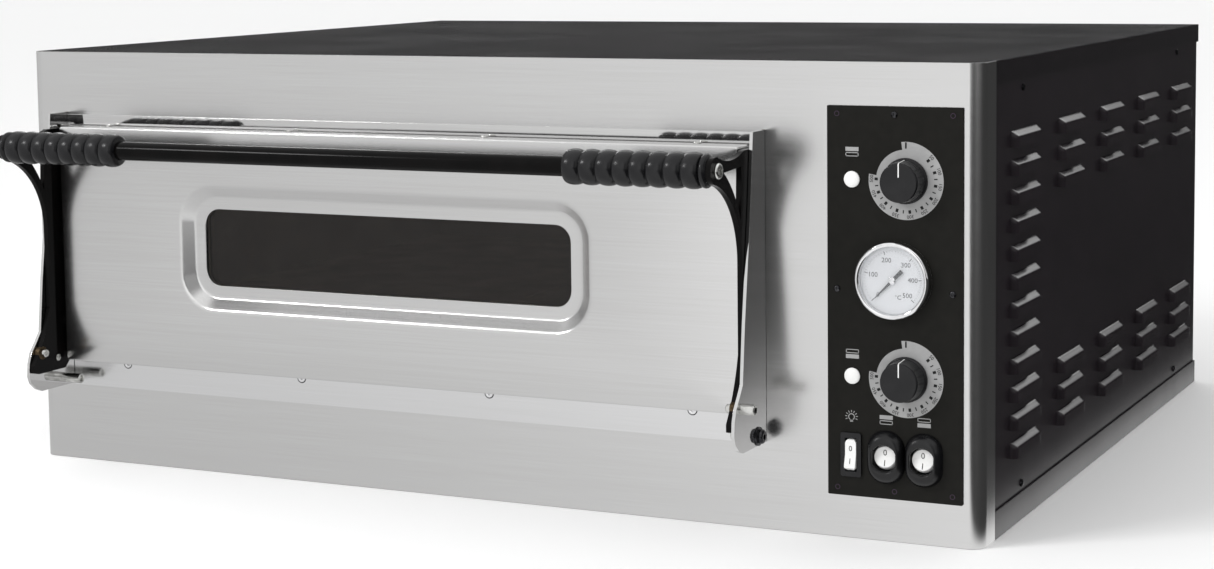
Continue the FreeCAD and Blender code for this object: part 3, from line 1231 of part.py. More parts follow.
def thermometer_pointer():
    """Pointer at rest at the bottom of the scale, with its hub and pin."""
    front = gauge_dial_front() - 1.6
    back = front + 0.8
    outline = [(-1.6, -8.0), (1.6, -8.0), (0.5, 22.0), (-0.5, 22.0)]
    points = [vec(GAUGE_X + x, front, GAUGE_Z + z) for x, z in outline]
    needle = Part.Face(Part.makePolygon(points + points[:1])).extrude(vec(0, back - front, 0))
    needle.rotate(vec(GAUGE_X, 0, GAUGE_Z), Y_AXIS, -135)
    hub = rod_y(GAUGE_X, front - 0.3, back + 0.3, GAUGE_Z, 3.2)
    pin = rod_y(GAUGE_X, back, gauge_dial_front() + 7, GAUGE_Z, 1.0)
    return needle.fuse([hub, pin])


def switch_pivot():
    """How far behind the plate's face the rockers' pins are."""
    return -PANEL_PLATE + 3.0


def switch_block(offset, radius, width, y0, y1):
    """Block that a switch's housing fills, at a distance along the plate."""
    x = PLATE_LEFT + offset
    side = width / 2 + 2.0
    tall = radius + 2.5
    return box(x - side, y0, SWITCH_Z - tall, x + side, y1, SWITCH_Z + tall)


def switch_housing(offset, radius, width, rim, rim_front):
    """Housing with a rim on the plate and a hollow that the rocker turns in."""
    x = PLATE_LEFT + offset
    block = switch_block(offset, radius, width, -PANEL_PLATE, SWITCH_DEPTH)
    half_wide = width / 2 + 2.0 + rim
    half_tall = radius + 2.5 + rim
    flange = rounded_box(x - half_wide, rim_front, SWITCH_Z - half_tall, x + half_wide, -PANEL_PLATE,
                         SWITCH_Z + half_tall, 2.0, "y")
    return block.fuse(flange)


def rocker_hollow(offset, radius, width):
    """Space that a flat rocker sweeps, open at the front."""
    x = PLATE_LEFT + offset
    gap = ROCKER_CLEARANCE
    hollow = rod_x(x - width / 2 - gap, x + width / 2 + gap, switch_pivot(), SWITCH_Z, radius + gap)
    mouth = box(x - width / 2 - gap, -PANEL_PLATE - 20, SWITCH_Z - radius - gap,
                x + width / 2 + gap, switch_pivot(), SWITCH_Z + radius + gap)
    return hollow.fuse(mouth)


def round_hollow(offset):
    """Space that a round rocker sweeps, open at the front."""
    x = PLATE_LEFT + offset
    radius = POWER_ROCKER_RADIUS + ROCKER_CLEARANCE
    ball = Part.makeSphere(radius, vec(x, switch_pivot(), SWITCH_Z))
    return ball.fuse(rod_y(x, -PANEL_PLATE - 20, switch_pivot(), SWITCH_Z, radius))


def rocker_face_cut(x, radius):
    """Cuts that give a rocker its shallow V face and its flat back."""
    reach = 3 * radius
    face = switch_pivot() - ROCKER_STAND
    upper = box(x - reach, face - reach, SWITCH_Z, x + reach, face, SWITCH_Z + reach)
    upper.rotate(vec(x, face, SWITCH_Z), X_AXIS, ROCKER_TILT)
    lower = box(x - reach, face - reach, SWITCH_Z - reach, x + reach, face, SWITCH_Z)
    lower.rotate(vec(x, face, SWITCH_Z), X_AXIS, -ROCKER_TILT)
    back = box(x - reach, switch_pivot() + radius * ROCKER_DEPTH_SHARE, SWITCH_Z - reach, x + reach,
               switch_pivot() + reach, SWITCH_Z + reach)
    return [upper, lower, back]


def light_rocker():
    x = PLATE_LEFT + LIGHT_SWITCH_OFFSET
    half = LIGHT_ROCKER_WIDTH / 2
    body = rod_x(x - half, x + half, switch_pivot(), SWITCH_Z, LIGHT_ROCKER_RADIUS)
    body = body.cut(rocker_face_cut(x, LIGHT_ROCKER_RADIUS))
    body.rotate(vec(x, switch_pivot(), SWITCH_Z), X_AXIS, -ROCKER_TILT)
    return body


def power_rocker(offset):
    x = PLATE_LEFT + offset
    body = Part.makeSphere(POWER_ROCKER_RADIUS, vec(x, switch_pivot(), SWITCH_Z))
    body = body.cut(rocker_face_cut(x, POWER_ROCKER_RADIUS))
    body.rotate(vec(x, switch_pivot(), SWITCH_Z), X_AXIS, -ROCKER_TILT)
    return body


def switch_bodies():
    light = switch_housing(LIGHT_SWITCH_OFFSET, LIGHT_ROCKER_RADIUS, LIGHT_ROCKER_WIDTH,
                           LIGHT_RIM, -PANEL_PLATE - LIGHT_RIM_STAND)
    solids = [light.cut(rocker_hollow(LIGHT_SWITCH_OFFSET, LIGHT_ROCKER_RADIUS, LIGHT_ROCKER_WIDTH))]
    for offset in POWER_SWITCH_OFFSETS:
        body = switch_block(offset, POWER_ROCKER_RADIUS, 2 * POWER_ROCKER_RADIUS, -PANEL_PLATE, SWITCH_DEPTH)
        solids.append(body.cut(round_hollow(offset)))
    return solids


def switch_boots():
    """Rounded splash boots round the two power switches."""
    boots = []
    for offset in POWER_SWITCH_OFFSETS:
        x = PLATE_LEFT + offset
        half = BOOT_WIDTH / 2
        tall = BOOT_HEIGHT / 2
        boot = rounded_box(x - half, -PANEL_PLATE - BOOT_STAND, SWITCH_Z - tall, x + half, -PANEL_PLATE,
                           SWITCH_Z + tall, half - 1, "y")
        front = -PANEL_PLATE - BOOT_STAND
        rim = [edge for edge in boot.Edges if abs(edge.CenterOfMass.y - front) < 0.01]
        boot = boot.makeFillet(4.0, rim)
        boots.append(boot.cut(rod_y(x, front - 1, 0, SWITCH_Z, POWER_ROCKER_RADIUS + ROCKER_CLEARANCE)))
    return boots


# ---- electrical bay -----------------------------------------------------------------------
def gland_x():
    return BODY_WIDTH - GLAND_RIGHT


def cable_gland():
    outer = BODY_DEPTH - SHEET - TUCK
    thread = rod_y(gland_x(), outer - SHEET - 12, outer, GLAND_RISE, GLAND_RADIUS - 2)
    nut = rod_y(gland_x(), outer - SHEET - 6, outer - SHEET, GLAND_RISE, GLAND_RADIUS + 2)
    cap = rod_y(gland_x(), outer, outer + GLAND_LENGTH - SHEET - 12, GLAND_RISE, GLAND_RADIUS)
    tip = [edge for edge in cap.Edges
           if edge.Closed and abs(edge.CenterOfMass.y - outer - GLAND_LENGTH + SHEET + 12) < 0.01]
    cap = cap.makeFillet(4.0, tip)
    bore = rod_y(gland_x(), outer - 40, BODY_DEPTH + 60, GLAND_RISE, GLAND_BORE)
    return thread.fuse([nut, cap]).cut(bore)


def contactors():
    """Two contactors on the bulkhead."""
    x = BULKHEAD_X + SHEET
    solids = []
    for back in CONTACTOR_PLACES:
        y = BODY_DEPTH - back
        base = box(x, y, CONTACTOR_BOTTOM, x + CONTACTOR_BASE, y + CONTACTOR_WIDTH, CONTACTOR_TOP)
        low = CONTACTOR_BOTTOM + 2 * CONTACTOR_STEP
        high = CONTACTOR_TOP - 2 * CONTACTOR_STEP
        nose = box(x + CONTACTOR_BASE, y + CONTACTOR_STEP, low,
                   x + CONTACTOR_REACH, y + CONTACTOR_WIDTH - CONTACTOR_STEP, high)
        solids.append(base.fuse(nose))
    return solids


def terminal_block():
    x = BULKHEAD_X + SHEET
    y = BODY_DEPTH - TERMINAL_BACK
    block = box(x, y, TERMINAL_BOTTOM, x + TERMINAL_REACH, y + TERMINALS * TERMINAL_PITCH,
                TERMINAL_BOTTOM + TERMINAL_HEIGHT)
    for number in range(TERMINALS):
        middle = y + TERMINAL_PITCH * (number + 0.5)
        block = block.cut(rod_x(x + TERMINAL_REACH - TERMINAL_WELL_DEPTH, x + TERMINAL_REACH + 1, middle,
                                TERMINAL_BOTTOM + TERMINAL_HEIGHT / 2, TERMINAL_WELL))
    return block


def wire_levels():
    return (STONE_LEVEL + 20, STONE_LEVEL + 45, STONE_LEVEL + 70)


def supply_wires(x):
    """Two wires from the terminals up into the contactors."""
    wires = []
    start_x = x + TERMINAL_REACH - TERMINAL_WELL_DEPTH
    start_z = TERMINAL_BOTTOM + TERMINAL_HEIGHT / 2
    for number, back in enumerate(CONTACTOR_PLACES):
        start_y = BODY_DEPTH - TERMINAL_BACK + TERMINAL_PITCH * (2.5 + number)
        end_y = BODY_DEPTH - back + CONTACTOR_WIDTH / 2
        run_x = x + CONTACTOR_REACH - WIRE_STEP * (1 - number)
        wires.append(tube([vec(start_x, start_y, start_z), vec(run_x, start_y, start_z),
                           vec(run_x, start_y, SUPPLY_LEVEL), vec(run_x, end_y, SUPPLY_LEVEL),
                           vec(run_x, end_y, CONTACTOR_BOTTOM + 2 * CONTACTOR_STEP)],
                          WIRE_RADIUS, WIRE_BEND))
    return wires


def element_wires(x):
    """Wires that come out of the rear insulation to the heating elements' relays."""
    wires = []
    y = BLANKET_BACK + WIRE_STEP
    for number, z in enumerate(wire_levels()):
        run_x = x + ELEMENT_WIRE_REACH + WIRE_STEP * number
        end_y = BODY_DEPTH - ELEMENT_WIRE_BACK + WIRE_STEP * number
        wires.append(tube([vec(BLANKET_OUTER_RIGHT - ELEMENT_WIRE_START, y, z), vec(run_x, y, z),
                           vec(run_x, end_y, z), vec(run_x, end_y, z + ELEMENT_WIRE_RISE)],
                          WIRE_RADIUS, WIRE_BEND))
    return wires


def switch_wires(x):
    """Wires from the two power switches back to the contactors."""
    wires = []
    level = SWITCH_Z - 4
    for number, offset in enumerate(POWER_SWITCH_OFFSETS):
        wire_x = PLATE_LEFT + offset
        turn_y = SWITCH_WIRE_TURN + WIRE_STEP * number
        run_x = x + SWITCH_WIRE_REACH + WIRE_STEP * number
        end_y = BODY_DEPTH - SWITCH_WIRE_BACK + CONTACTOR_WIDTH * number
        wires.append(tube([vec(wire_x, SWITCH_DEPTH, level), vec(wire_x, turn_y, level),
                           vec(run_x, turn_y, level), vec(run_x, end_y, level),
                           vec(run_x, end_y, SWITCH_WIRE_END)], WIRE_RADIUS, WIRE_BEND))
    return wires


def gland_wire(x):
    """Lead from the gland to the terminals' side of the bay."""
    back = BODY_DEPTH - 3 * SHEET - 2 * TUCK - GLAND_WIRE_IN
    turn = back - 4 * WIRE_BEND
    level = GLAND_RISE + GLAND_WIRE_RISE
    return tube([vec(gland_x(), back, GLAND_RISE), vec(gland_x(), turn, GLAND_RISE),
                 vec(gland_x(), turn, level), vec(x + TERMINAL_REACH, turn, level)],
                WIRE_RADIUS + 1, WIRE_BEND)


def wiring_loom():
    x = BULKHEAD_X + SHEET
    return supply_wires(x) + element_wires(x) + switch_wires(x) + [gland_wire(x)]


def build():
    os.makedirs("parts", exist_ok=True)
    save("base_tray", base_tray())
    save("front_panel", front_panel())
    save("roof_panel", roof_panel())
    left = side_panel()
    save("side_panel_left", left)
    save("side_panel_right", left.mirror(vec(BODY_WIDTH / 2, 0, 0), X_AXIS))
    save("back_panel", back_panel())
    save("casing_screws", *casing_screws(), *control_screws())
    save("chamber_liner", chamber_liner())
    save("chamber_rails", *stone_rails(), *cross_bars())
    save("deck_stones", *deck_stones())
    save("heating_elements", *heating_elements())
    save("bottom_insulation", bottom_insulation())
    save("top_insulation", top_insulation())
    save("wall_insulation", *wall_insulation())
    save("control_bulkhead", control_bulkhead())
    save("chamber_lamp", *chamber_lamp())
    save("lamp_glass", lamp_glass())
    save("head_strip", head_strip())
    save("sill_plate", sill_plate())
    save("sill_screws", *sill_screws())
    save("wing_left", wing())
    save("wing_right", mirrored(wing()))
    save("stop_bolts", *stop_bolt(), *[mirrored(piece) for piece in stop_bolt()])
    save("stop_sleeves", stop_sleeve(), mirrored(stop_sleeve()))
    save("pivot_bolts", *pivot_bolt(PIVOT_LOW_HEAD), *[mirrored(piece) for piece in pivot_bolt(PIVOT_HEAD)])
    save("door_skin", door_skin())
    save("door_inner_pan", door_inner_pan())
    save("door_insulation", door_insulation())
    save("door_glasses", *door_glasses())
    save("glass_seals", *glass_seals())
    save("door_gasket", door_gasket())
    save("door_screws", *door_screws())
    save("arm_left", arm())
    save("arm_right", mirrored(arm()))
    save("arm_screws", *arm_screws(), *[mirrored(piece) for piece in arm_screws()])
    save("pivot_bushes", pivot_bush(), mirrored(pivot_bush()))
    save("handle_bar", handle_bar())
    save("grip_left", grip())
    save("grip_right", mirrored(grip()))
    save("handle_screws", handle_screw(), mirrored(handle_screw()))
    save("control_panel", control_panel())
    save("thermostats", thermostat(UPPER_KNOB_Z, "upper"), thermostat(LOWER_KNOB_Z, "lower"))
    for name, z in (("upper", UPPER_KNOB_Z), ("lower", LOWER_KNOB_Z)):
        save("knob_" + name, knob(z))
        save("thermostat_shaft_" + name, thermostat_shaft(z))
    save("pilot_lamps", pilot_lamp(UPPER_KNOB_Z), pilot_lamp(LOWER_KNOB_Z))
    save("thermometer_case", thermometer_case())
    save("thermometer_dial", thermometer_dial())
    save("thermometer_glass", thermometer_glass())
    save("thermometer_pointer", thermometer_pointer())
    save("switch_bodies", *switch_bodies())
    save("switch_boots", *switch_boots())
    save("light_rocker", light_rocker())
    save("upper_heat_rocker", power_rocker(POWER_SWITCH_OFFSETS[0]))
    save("lower_heat_rocker", power_rocker(POWER_SWITCH_OFFSETS[1]))
    save("cable_gland", cable_gland())
    save("contactors", *contactors())
    save("terminal_block", terminal_block())
    save("wiring_loom", *wiring_loom())


build()
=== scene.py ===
"""Looks of the single-chamber deck oven: metres, Z up, front towards -Y."""
import math

import bmesh
import bpy
from mathutils import Matrix, Vector
from mathutils.bvhtree import BVHTree


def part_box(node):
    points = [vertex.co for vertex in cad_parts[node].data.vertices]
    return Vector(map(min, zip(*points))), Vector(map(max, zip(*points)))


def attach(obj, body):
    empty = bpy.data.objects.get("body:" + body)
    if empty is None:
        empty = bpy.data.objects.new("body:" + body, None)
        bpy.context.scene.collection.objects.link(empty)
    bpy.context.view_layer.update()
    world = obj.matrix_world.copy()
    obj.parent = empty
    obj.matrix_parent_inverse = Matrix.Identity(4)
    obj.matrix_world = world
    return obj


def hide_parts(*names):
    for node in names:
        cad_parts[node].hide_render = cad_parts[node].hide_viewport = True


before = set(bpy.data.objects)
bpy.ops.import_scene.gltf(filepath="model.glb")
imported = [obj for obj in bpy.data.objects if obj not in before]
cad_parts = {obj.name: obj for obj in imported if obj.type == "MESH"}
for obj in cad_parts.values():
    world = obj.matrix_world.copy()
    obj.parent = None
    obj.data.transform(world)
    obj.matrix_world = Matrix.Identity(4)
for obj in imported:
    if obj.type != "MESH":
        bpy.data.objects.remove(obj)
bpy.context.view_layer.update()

MM = 0.001
FRONT = Vector((0, -1, 0))
BACK = Vector((0, 1, 0))
RIGHT = Vector((1, 0, 0))
LEFT = Vector((-1, 0, 0))
UP = Vector((0, 0, 1))

# Sizes that the looks share with the design, in millimetres.
DIAL_OUTER = 33.8
DIAL_BAND = 27.0
DIAL_INNER = 19.0
DIAL_FIRST = 48.0            # degrees clockwise from the top to the first figure
DIAL_LAST = 272.0
DIAL_FIGURES = 10
GAUGE_SWEEP = 270.0
# Thermometer scale: first and last angle clockwise from the top, and the figures between them.
GAUGE_SPANS = ((-134.0, 41.0, ("0", "100", "200", "300")), (41.0, 133.0, ("", "400", "500")))
LOUVRE_WIDTH = 84.0
LOUVRE_HEIGHT = 14.5
LOUVRE_BULGE = 6.5
LOUVRE_PITCH = 25.35
LOUVRE_BOTTOM = 62.0
LOUVRE_ROWS = 12
LOUVRE_GROUP = 3
LOUVRE_FIRST = 131.0
LOUVRE_STEP = 157.5
LOUVRE_COLUMNS = 5
LOW_HEAD = 3.0                # hinge bolt heads
TALL_HEAD = 13.5
PAN_HEAD = 1.8                # seat of a pan head below its top
CONTROL_HEAD = 1.4
SOCKET_HEAD = 2.4
STOP_HEAD = 4.5
HANDLE_HEAD = 4.5
GRIP_RING = 7.0               # plain ring at the outer end of a grip
BEAD_PITCH = 16.1
BEAD_CROWN = 15.98
BEAD_WAIST = 12.9
DIAL_MARKS = 28.4             # outer end of the marks on a knob's dial
DIAL_FIGURE_RADIUS = 31.0
DIAL_FIGURE_SIZE = 4.4
DIAL_EDGES = (-7, 279, 353)   # where the wide and the narrow ring begin and end, in degrees
GAUGE_MARKS = 26.4
GAUGE_FIGURE_RADIUS = 18.4
GAUGE_FIGURE_SIZE = 6.0
CAMERA_LENS = 71.13
CAMERA_SHIFT = -0.0943
CAMERA_PLACE = (1.0991, -2.385, 0.5317)
CAMERA_AHEAD = (-0.43348, 0.89587, -0.09755)
CAMERA_UP = (-0.03135, 0.09319, 0.99515)
FLOOR_VIEW = (1.1, 1.535, 0.0)   # where the floor's brightness fans out from, behind the oven
PRINT = 0.12                 # thickness of printed marks
GRIP_BEADS = 8
WINDOW_SIDE = 146.5
WINDOW_BOTTOM = 61.4
WINDOW_TOP = 54.7
WINDOW_RADIUS = 36.0
WINDOW_TIGHTENING = 0.87      # how much the corner radius shrinks inwards
WINDOW_DEPTH = 9.0
WINDOW_SLOPE = 11.0
WINDOW_FRAME = 12.0


# ---- node helpers -------------------------------------------------------------------------
def join(tree, value, socket):
    """Link a socket to another, or give it a plain value."""
    if isinstance(value, bpy.types.NodeSocket):
        tree.links.new(value, socket)
    else:
        socket.default_value = value


def put(tree, kind, inputs=None, **settings):
    """Add a node, set its properties, then fill its inputs."""
    made = tree.nodes.new(kind)
    for key, value in settings.items():
        setattr(made, key, value)
    for key, value in (inputs or {}).items():
        join(tree, value, made.inputs[key])
    return made


def calc(tree, operation, *terms):
    """Result of a Math node."""
    made = tree.nodes.new("ShaderNodeMath")
    made.operation = operation
    for socket, term in zip(made.inputs, terms):
        join(tree, term, socket)
    return made.outputs[0]


def times(tree, first, second):
    """Product of two values."""
    return calc(tree, "MULTIPLY", first, second)


def span(tree, value, from_low, from_high, to_low, to_high, kind="LINEAR"):
    """Value carried from one range to another, held at the ends."""
    made = put(tree, "ShaderNodeMapRange",
               {0: value, 1: from_low, 2: from_high, 3: to_low, 4: to_high},
               interpolation_type=kind)
    return made.outputs[0]


def tone(tree, mask, first, second):
    """Colour that goes from first to second as the mask goes from 0 to 1."""
    made = put(tree, "ShaderNodeMix", data_type="RGBA")
    join(tree, mask, made.inputs[0])
    for value, socket in ((first, made.inputs[6]), (second, made.inputs[7])):
        join(tree, value if isinstance(value, bpy.types.NodeSocket) else (*value, 1.0), socket)
    return made.outputs[2]


def stretched(tree, place, x, y, z):
    """Coordinates scaled on each axis."""
    return put(tree, "ShaderNodeVectorMath", {0: place, 1: (x, y, z)},
               operation="MULTIPLY").outputs[0]


def noise(tree, place, scale, detail=3.0, rough=0.5):
    """Value of a noise texture at a place."""
    made = put(tree, "ShaderNodeTexNoise",
               {"Vector": place, "Scale": scale, "Detail": detail, "Roughness": rough})
    return made.outputs["Fac"]


def new_tree(name, kind, inputs, outputs):
    """A node tree and its inner sockets; an input gives its starting value or its kind."""
    tree = bpy.data.node_groups.new(name, kind)
    for label, value in inputs:
        named = isinstance(value, str)
        socket = value if named else type(value).__name__.capitalize()
        made = tree.interface.new_socket(name=label, in_out="INPUT",
                                         socket_type="NodeSocket" + socket)
        if not named:
            made.default_value = value
    for label, socket in outputs:
        tree.interface.new_socket(name=label, in_out="OUTPUT", socket_type="NodeSocket" + socket)
    given = tree.nodes.new("NodeGroupInput").outputs
    taken = tree.nodes.new("NodeGroupOutput").inputs
    return tree, given, taken


# ---- effects shared by the materials ------------------------------------------------------
def make_brushing():
    """Fine parallel lines left by the finishing belt, along X."""
    tree, given, taken = new_tree(
        "brushing", "ShaderNodeTree",
        [("Place", "Vector"), ("Line Scale", 900.0)],
        [("Lines", "Float"), ("Bands", "Float")])
    fine = noise(tree, stretched(tree, given["Place"], 0.006, 1.0, 1.0), given["Line Scale"], 4.0,
                 0.6)
    wide = noise(tree, stretched(tree, given["Place"], 0.03, 1.0, 1.0),
                 times(tree, given["Line Scale"], 0.045), 2.0)
    join(tree, span(tree, fine, 0.3, 0.7, 0.0, 1.0), taken["Lines"])
    join(tree, span(tree, wide, 0.35, 0.65, 0.0, 1.0), taken["Bands"])
    return tree


def make_handling():
    """Soft uneven patches where a surface has been wiped and touched."""
    tree, given, taken = new_tree(
        "handling", "ShaderNodeTree",
        [("Place", "Vector"), ("Patch Scale", 9.0)],
        [("Patches", "Float"), ("Specks", "Float")])
    wide = noise(tree, given["Place"], given["Patch Scale"], 5.0, 0.6)
    specks = noise(tree, given["Place"], times(tree, given["Patch Scale"], 60.0), 2.0)
    join(tree, span(tree, wide, 0.38, 0.66, 0.0, 1.0, "SMOOTHSTEP"), taken["Patches"])
    join(tree, span(tree, specks, 0.62, 0.72, 0.0, 1.0), taken["Specks"])
    return tree


def make_skin():
    """Slight orange peel of paint and moulded plastic."""
    tree, given, taken = new_tree(
        "skin", "ShaderNodeTree",
        [("Place", "Vector"), ("Grain Scale", 700.0)],
        [("Relief", "Float"), ("Mottle", "Float")])
    fine = noise(tree, given["Place"], given["Grain Scale"], 2.0)
    broad = noise(tree, given["Place"], times(tree, given["Grain Scale"], 0.06), 3.0)
    join(tree, fine, taken["Relief"])
    join(tree, span(tree, broad, 0.3, 0.7, 0.0, 1.0), taken["Mottle"])
    return tree


def make_strands():
    """Crossing strands of braided or felted fibre."""
    tree, given, taken = new_tree(
        "strands", "ShaderNodeTree",
        [("Place", "Vector"), ("Strand Scale", 300.0),
         ("Tangle", 2.0)],
        [("Height", "Float"), ("Shade", "Float")])
    waves = []
    for place in (given["Place"], stretched(tree, given["Place"], -1.0, 1.0, 1.0)):
        wave = put(tree, "ShaderNodeTexWave", {"Vector": place, "Scale": given["Strand Scale"],
                                               "Distortion": given["Tangle"]},
                   bands_direction="DIAGONAL")
        waves.append(wave.outputs["Fac"])
    both = times(tree, *waves)
    broad = noise(tree, given["Place"], times(tree, given["Strand Scale"], 0.1), 4.0)
    # Shade is half random tone and half the strands' height, so the colour darkens down between
    # strands: painted shade.
    join(tree, both, taken["Height"])
    join(tree, calc(tree, "MULTIPLY_ADD", broad, 0.5, times(tree, both, 0.5)), taken["Shade"])
    return tree


brushing = make_brushing()
handling = make_handling()
skin = make_skin()
strands = make_strands()


# ---- materials ----------------------------------------------------------------------------
class Finish:
    """A material, its Principled shader, and the coordinates its patterns read."""

    def __init__(self, name, colour, rough, metal=0.0, **settings):
        self.material = bpy.data.materials.new(name)
        self.material.use_nodes = True
        self.tree = self.material.node_tree
        self.shader = self.tree.nodes["Principled BSDF"]
        self.place = self.tree.nodes.new("ShaderNodeTexCoord").outputs["Object"]
        self.set("Base Color", (*colour, 1.0))
        self.set("Roughness", rough)
        self.set("Metallic", metal)
        for label, value in settings.items():
            self.set(label.replace("_", " "), value)

    def set(self, label, value):
        join(self.tree, value, self.shader.inputs[label])

    def effect(self, group, **values):
        made = put(self.tree, "ShaderNodeGroup", node_tree=group)
        join(self.tree, values.pop("place", self.place), made.inputs["Place"])
        for label, value in values.items():
            join(self.tree, value, made.inputs[label.replace("_", " ")])
        return made.outputs

    def colours(self, mask, first, second):
        self.set("Base Color", tone(self.tree, mask, first, second))

    def roughness(self, mask, low, high):
        self.set("Roughness", span(self.tree, mask, 0.0, 1.0, low, high))

    def relief(self, height, strength, distance):
        bump = put(self.tree, "ShaderNodeBump",
                   {"Height": height, "Strength": strength, "Distance": distance})
        self.set("Normal", bump.outputs[0])


def steel(name, dark, light, low, high, line_scale, depth, **settings):
    """Stainless sheet with belt lines along X."""
    finish = Finish(name, light, low, 1.0, **settings)
    lines = finish.effect(brushing, Line_Scale=line_scale)
    hands = finish.effect(handling, Patch_Scale=5.0)
    mask = calc(finish.tree, "MULTIPLY_ADD", lines["Bands"], 0.2,
                times(finish.tree, lines["Lines"], 0.8))
    finish.colours(mask, dark, light)
    rough = calc(finish.tree, "MULTIPLY_ADD", hands["Patches"], 0.35,
                 times(finish.tree, mask, 0.65))
    finish.roughness(rough, low, high)
    finish.relief(lines["Lines"], 0.25, depth)
    return finish.material


def paint(name, dark, light, low, high, grain, strength, **settings):
    """Baked enamel or moulded plastic with a slight skin."""
    finish = Finish(name, light, low, 0.0, **settings)
    peel = finish.effect(skin, Grain_Scale=grain)
    hands = finish.effect(handling, Patch_Scale=7.0)
    finish.colours(peel["Mottle"], dark, light)
    rough = calc(finish.tree, "MULTIPLY_ADD", hands["Patches"], 0.6,
                 times(finish.tree, peel["Mottle"], 0.4))
    finish.roughness(rough, low, high)
    finish.relief(peel["Relief"], strength, 0.00005)
    return finish.material


def plated(name, dark, light, low, high, scale):
    """Turned or pressed plated metal, a little uneven."""
    finish = Finish(name, light, low, 1.0)
    hands = finish.effect(handling, Patch_Scale=scale)
    mask = calc(finish.tree, "MAXIMUM", hands["Patches"], hands["Specks"])
    finish.colours(mask, light, dark)
    finish.roughness(mask, low, high)
    return finish.material


def fibrous(name, dark, light, scale, tangle, depth):
    finish = Finish(name, light, 0.95, 0.0, Specular_IOR_Level=0.1)
    fibre = finish.effect(strands, Strand_Scale=scale, Tangle=tangle)
    # Darker down between the strands: painted shade, mixed with random tone.
    finish.colours(fibre["Shade"], dark, light)
    finish.relief(fibre["Height"], 0.8, depth)
    return finish.material


def stone(name):
    """Cast baking stone: sandy and speckled."""
    finish = Finish(name, (0.5, 0.43, 0.33), 0.9, 0.0)
    grit = finish.effect(skin, Grain_Scale=500.0)
    cells = put(finish.tree, "ShaderNodeTexVoronoi", {"Vector": finish.place, "Scale": 260.0})
    speck = span(finish.tree, cells.outputs["Distance"], 0.05, 0.22, 1.0, 0.0)
    base = tone(finish.tree, grit["Mottle"], (0.42, 0.36, 0.28), (0.6, 0.53, 0.43))
    finish.set("Base Color", tone(finish.tree, speck, base, (0.3, 0.25, 0.2)))
    finish.roughness(grit["Mottle"], 0.85, 0.97)
    finish.relief(grit["Relief"], 0.6, 0.0003)
    return finish.material


def liner(name):
    """Aluminised sheet, straw and grey with heat."""
    finish = Finish(name, (0.4, 0.38, 0.35), 0.45, 1.0)
    lines = finish.effect(brushing, Line_Scale=500.0)
    heat = finish.effect(handling, Patch_Scale=4.0)
    base = tone(finish.tree, heat["Patches"], (0.3, 0.28, 0.26), (0.42, 0.36, 0.27))
    finish.set("Base Color", tone(finish.tree, heat["Specks"], base, (0.16, 0.13, 0.11)))
    finish.roughness(lines["Bands"], 0.38, 0.6)
    finish.relief(lines["Lines"], 0.2, 0.00004)
    return finish.material


def glass(name, colour, index, rough):
    """Clear pane: its roughness varies a little with wiping."""
    finish = Finish(name, colour, rough, 0.0, IOR=index, Transmission_Weight=1.0)
    hands = finish.effect(handling, Patch_Scale=6.0)
    finish.roughness(hands["Patches"], rough, rough + 0.03)
    finish.colours(hands["Patches"], colour, tuple(0.94 * part for part in colour))
    return finish.material


def clear_cover(name):
    """Thin clear cover over the thermometer's dial."""
    finish = Finish(name, (0.8, 0.82, 0.85), 0.04, 0.0, Alpha=0.1)
    hands = finish.effect(handling, Patch_Scale=30.0)
    finish.roughness(hands["Patches"], 0.02, 0.08)
    return finish.material


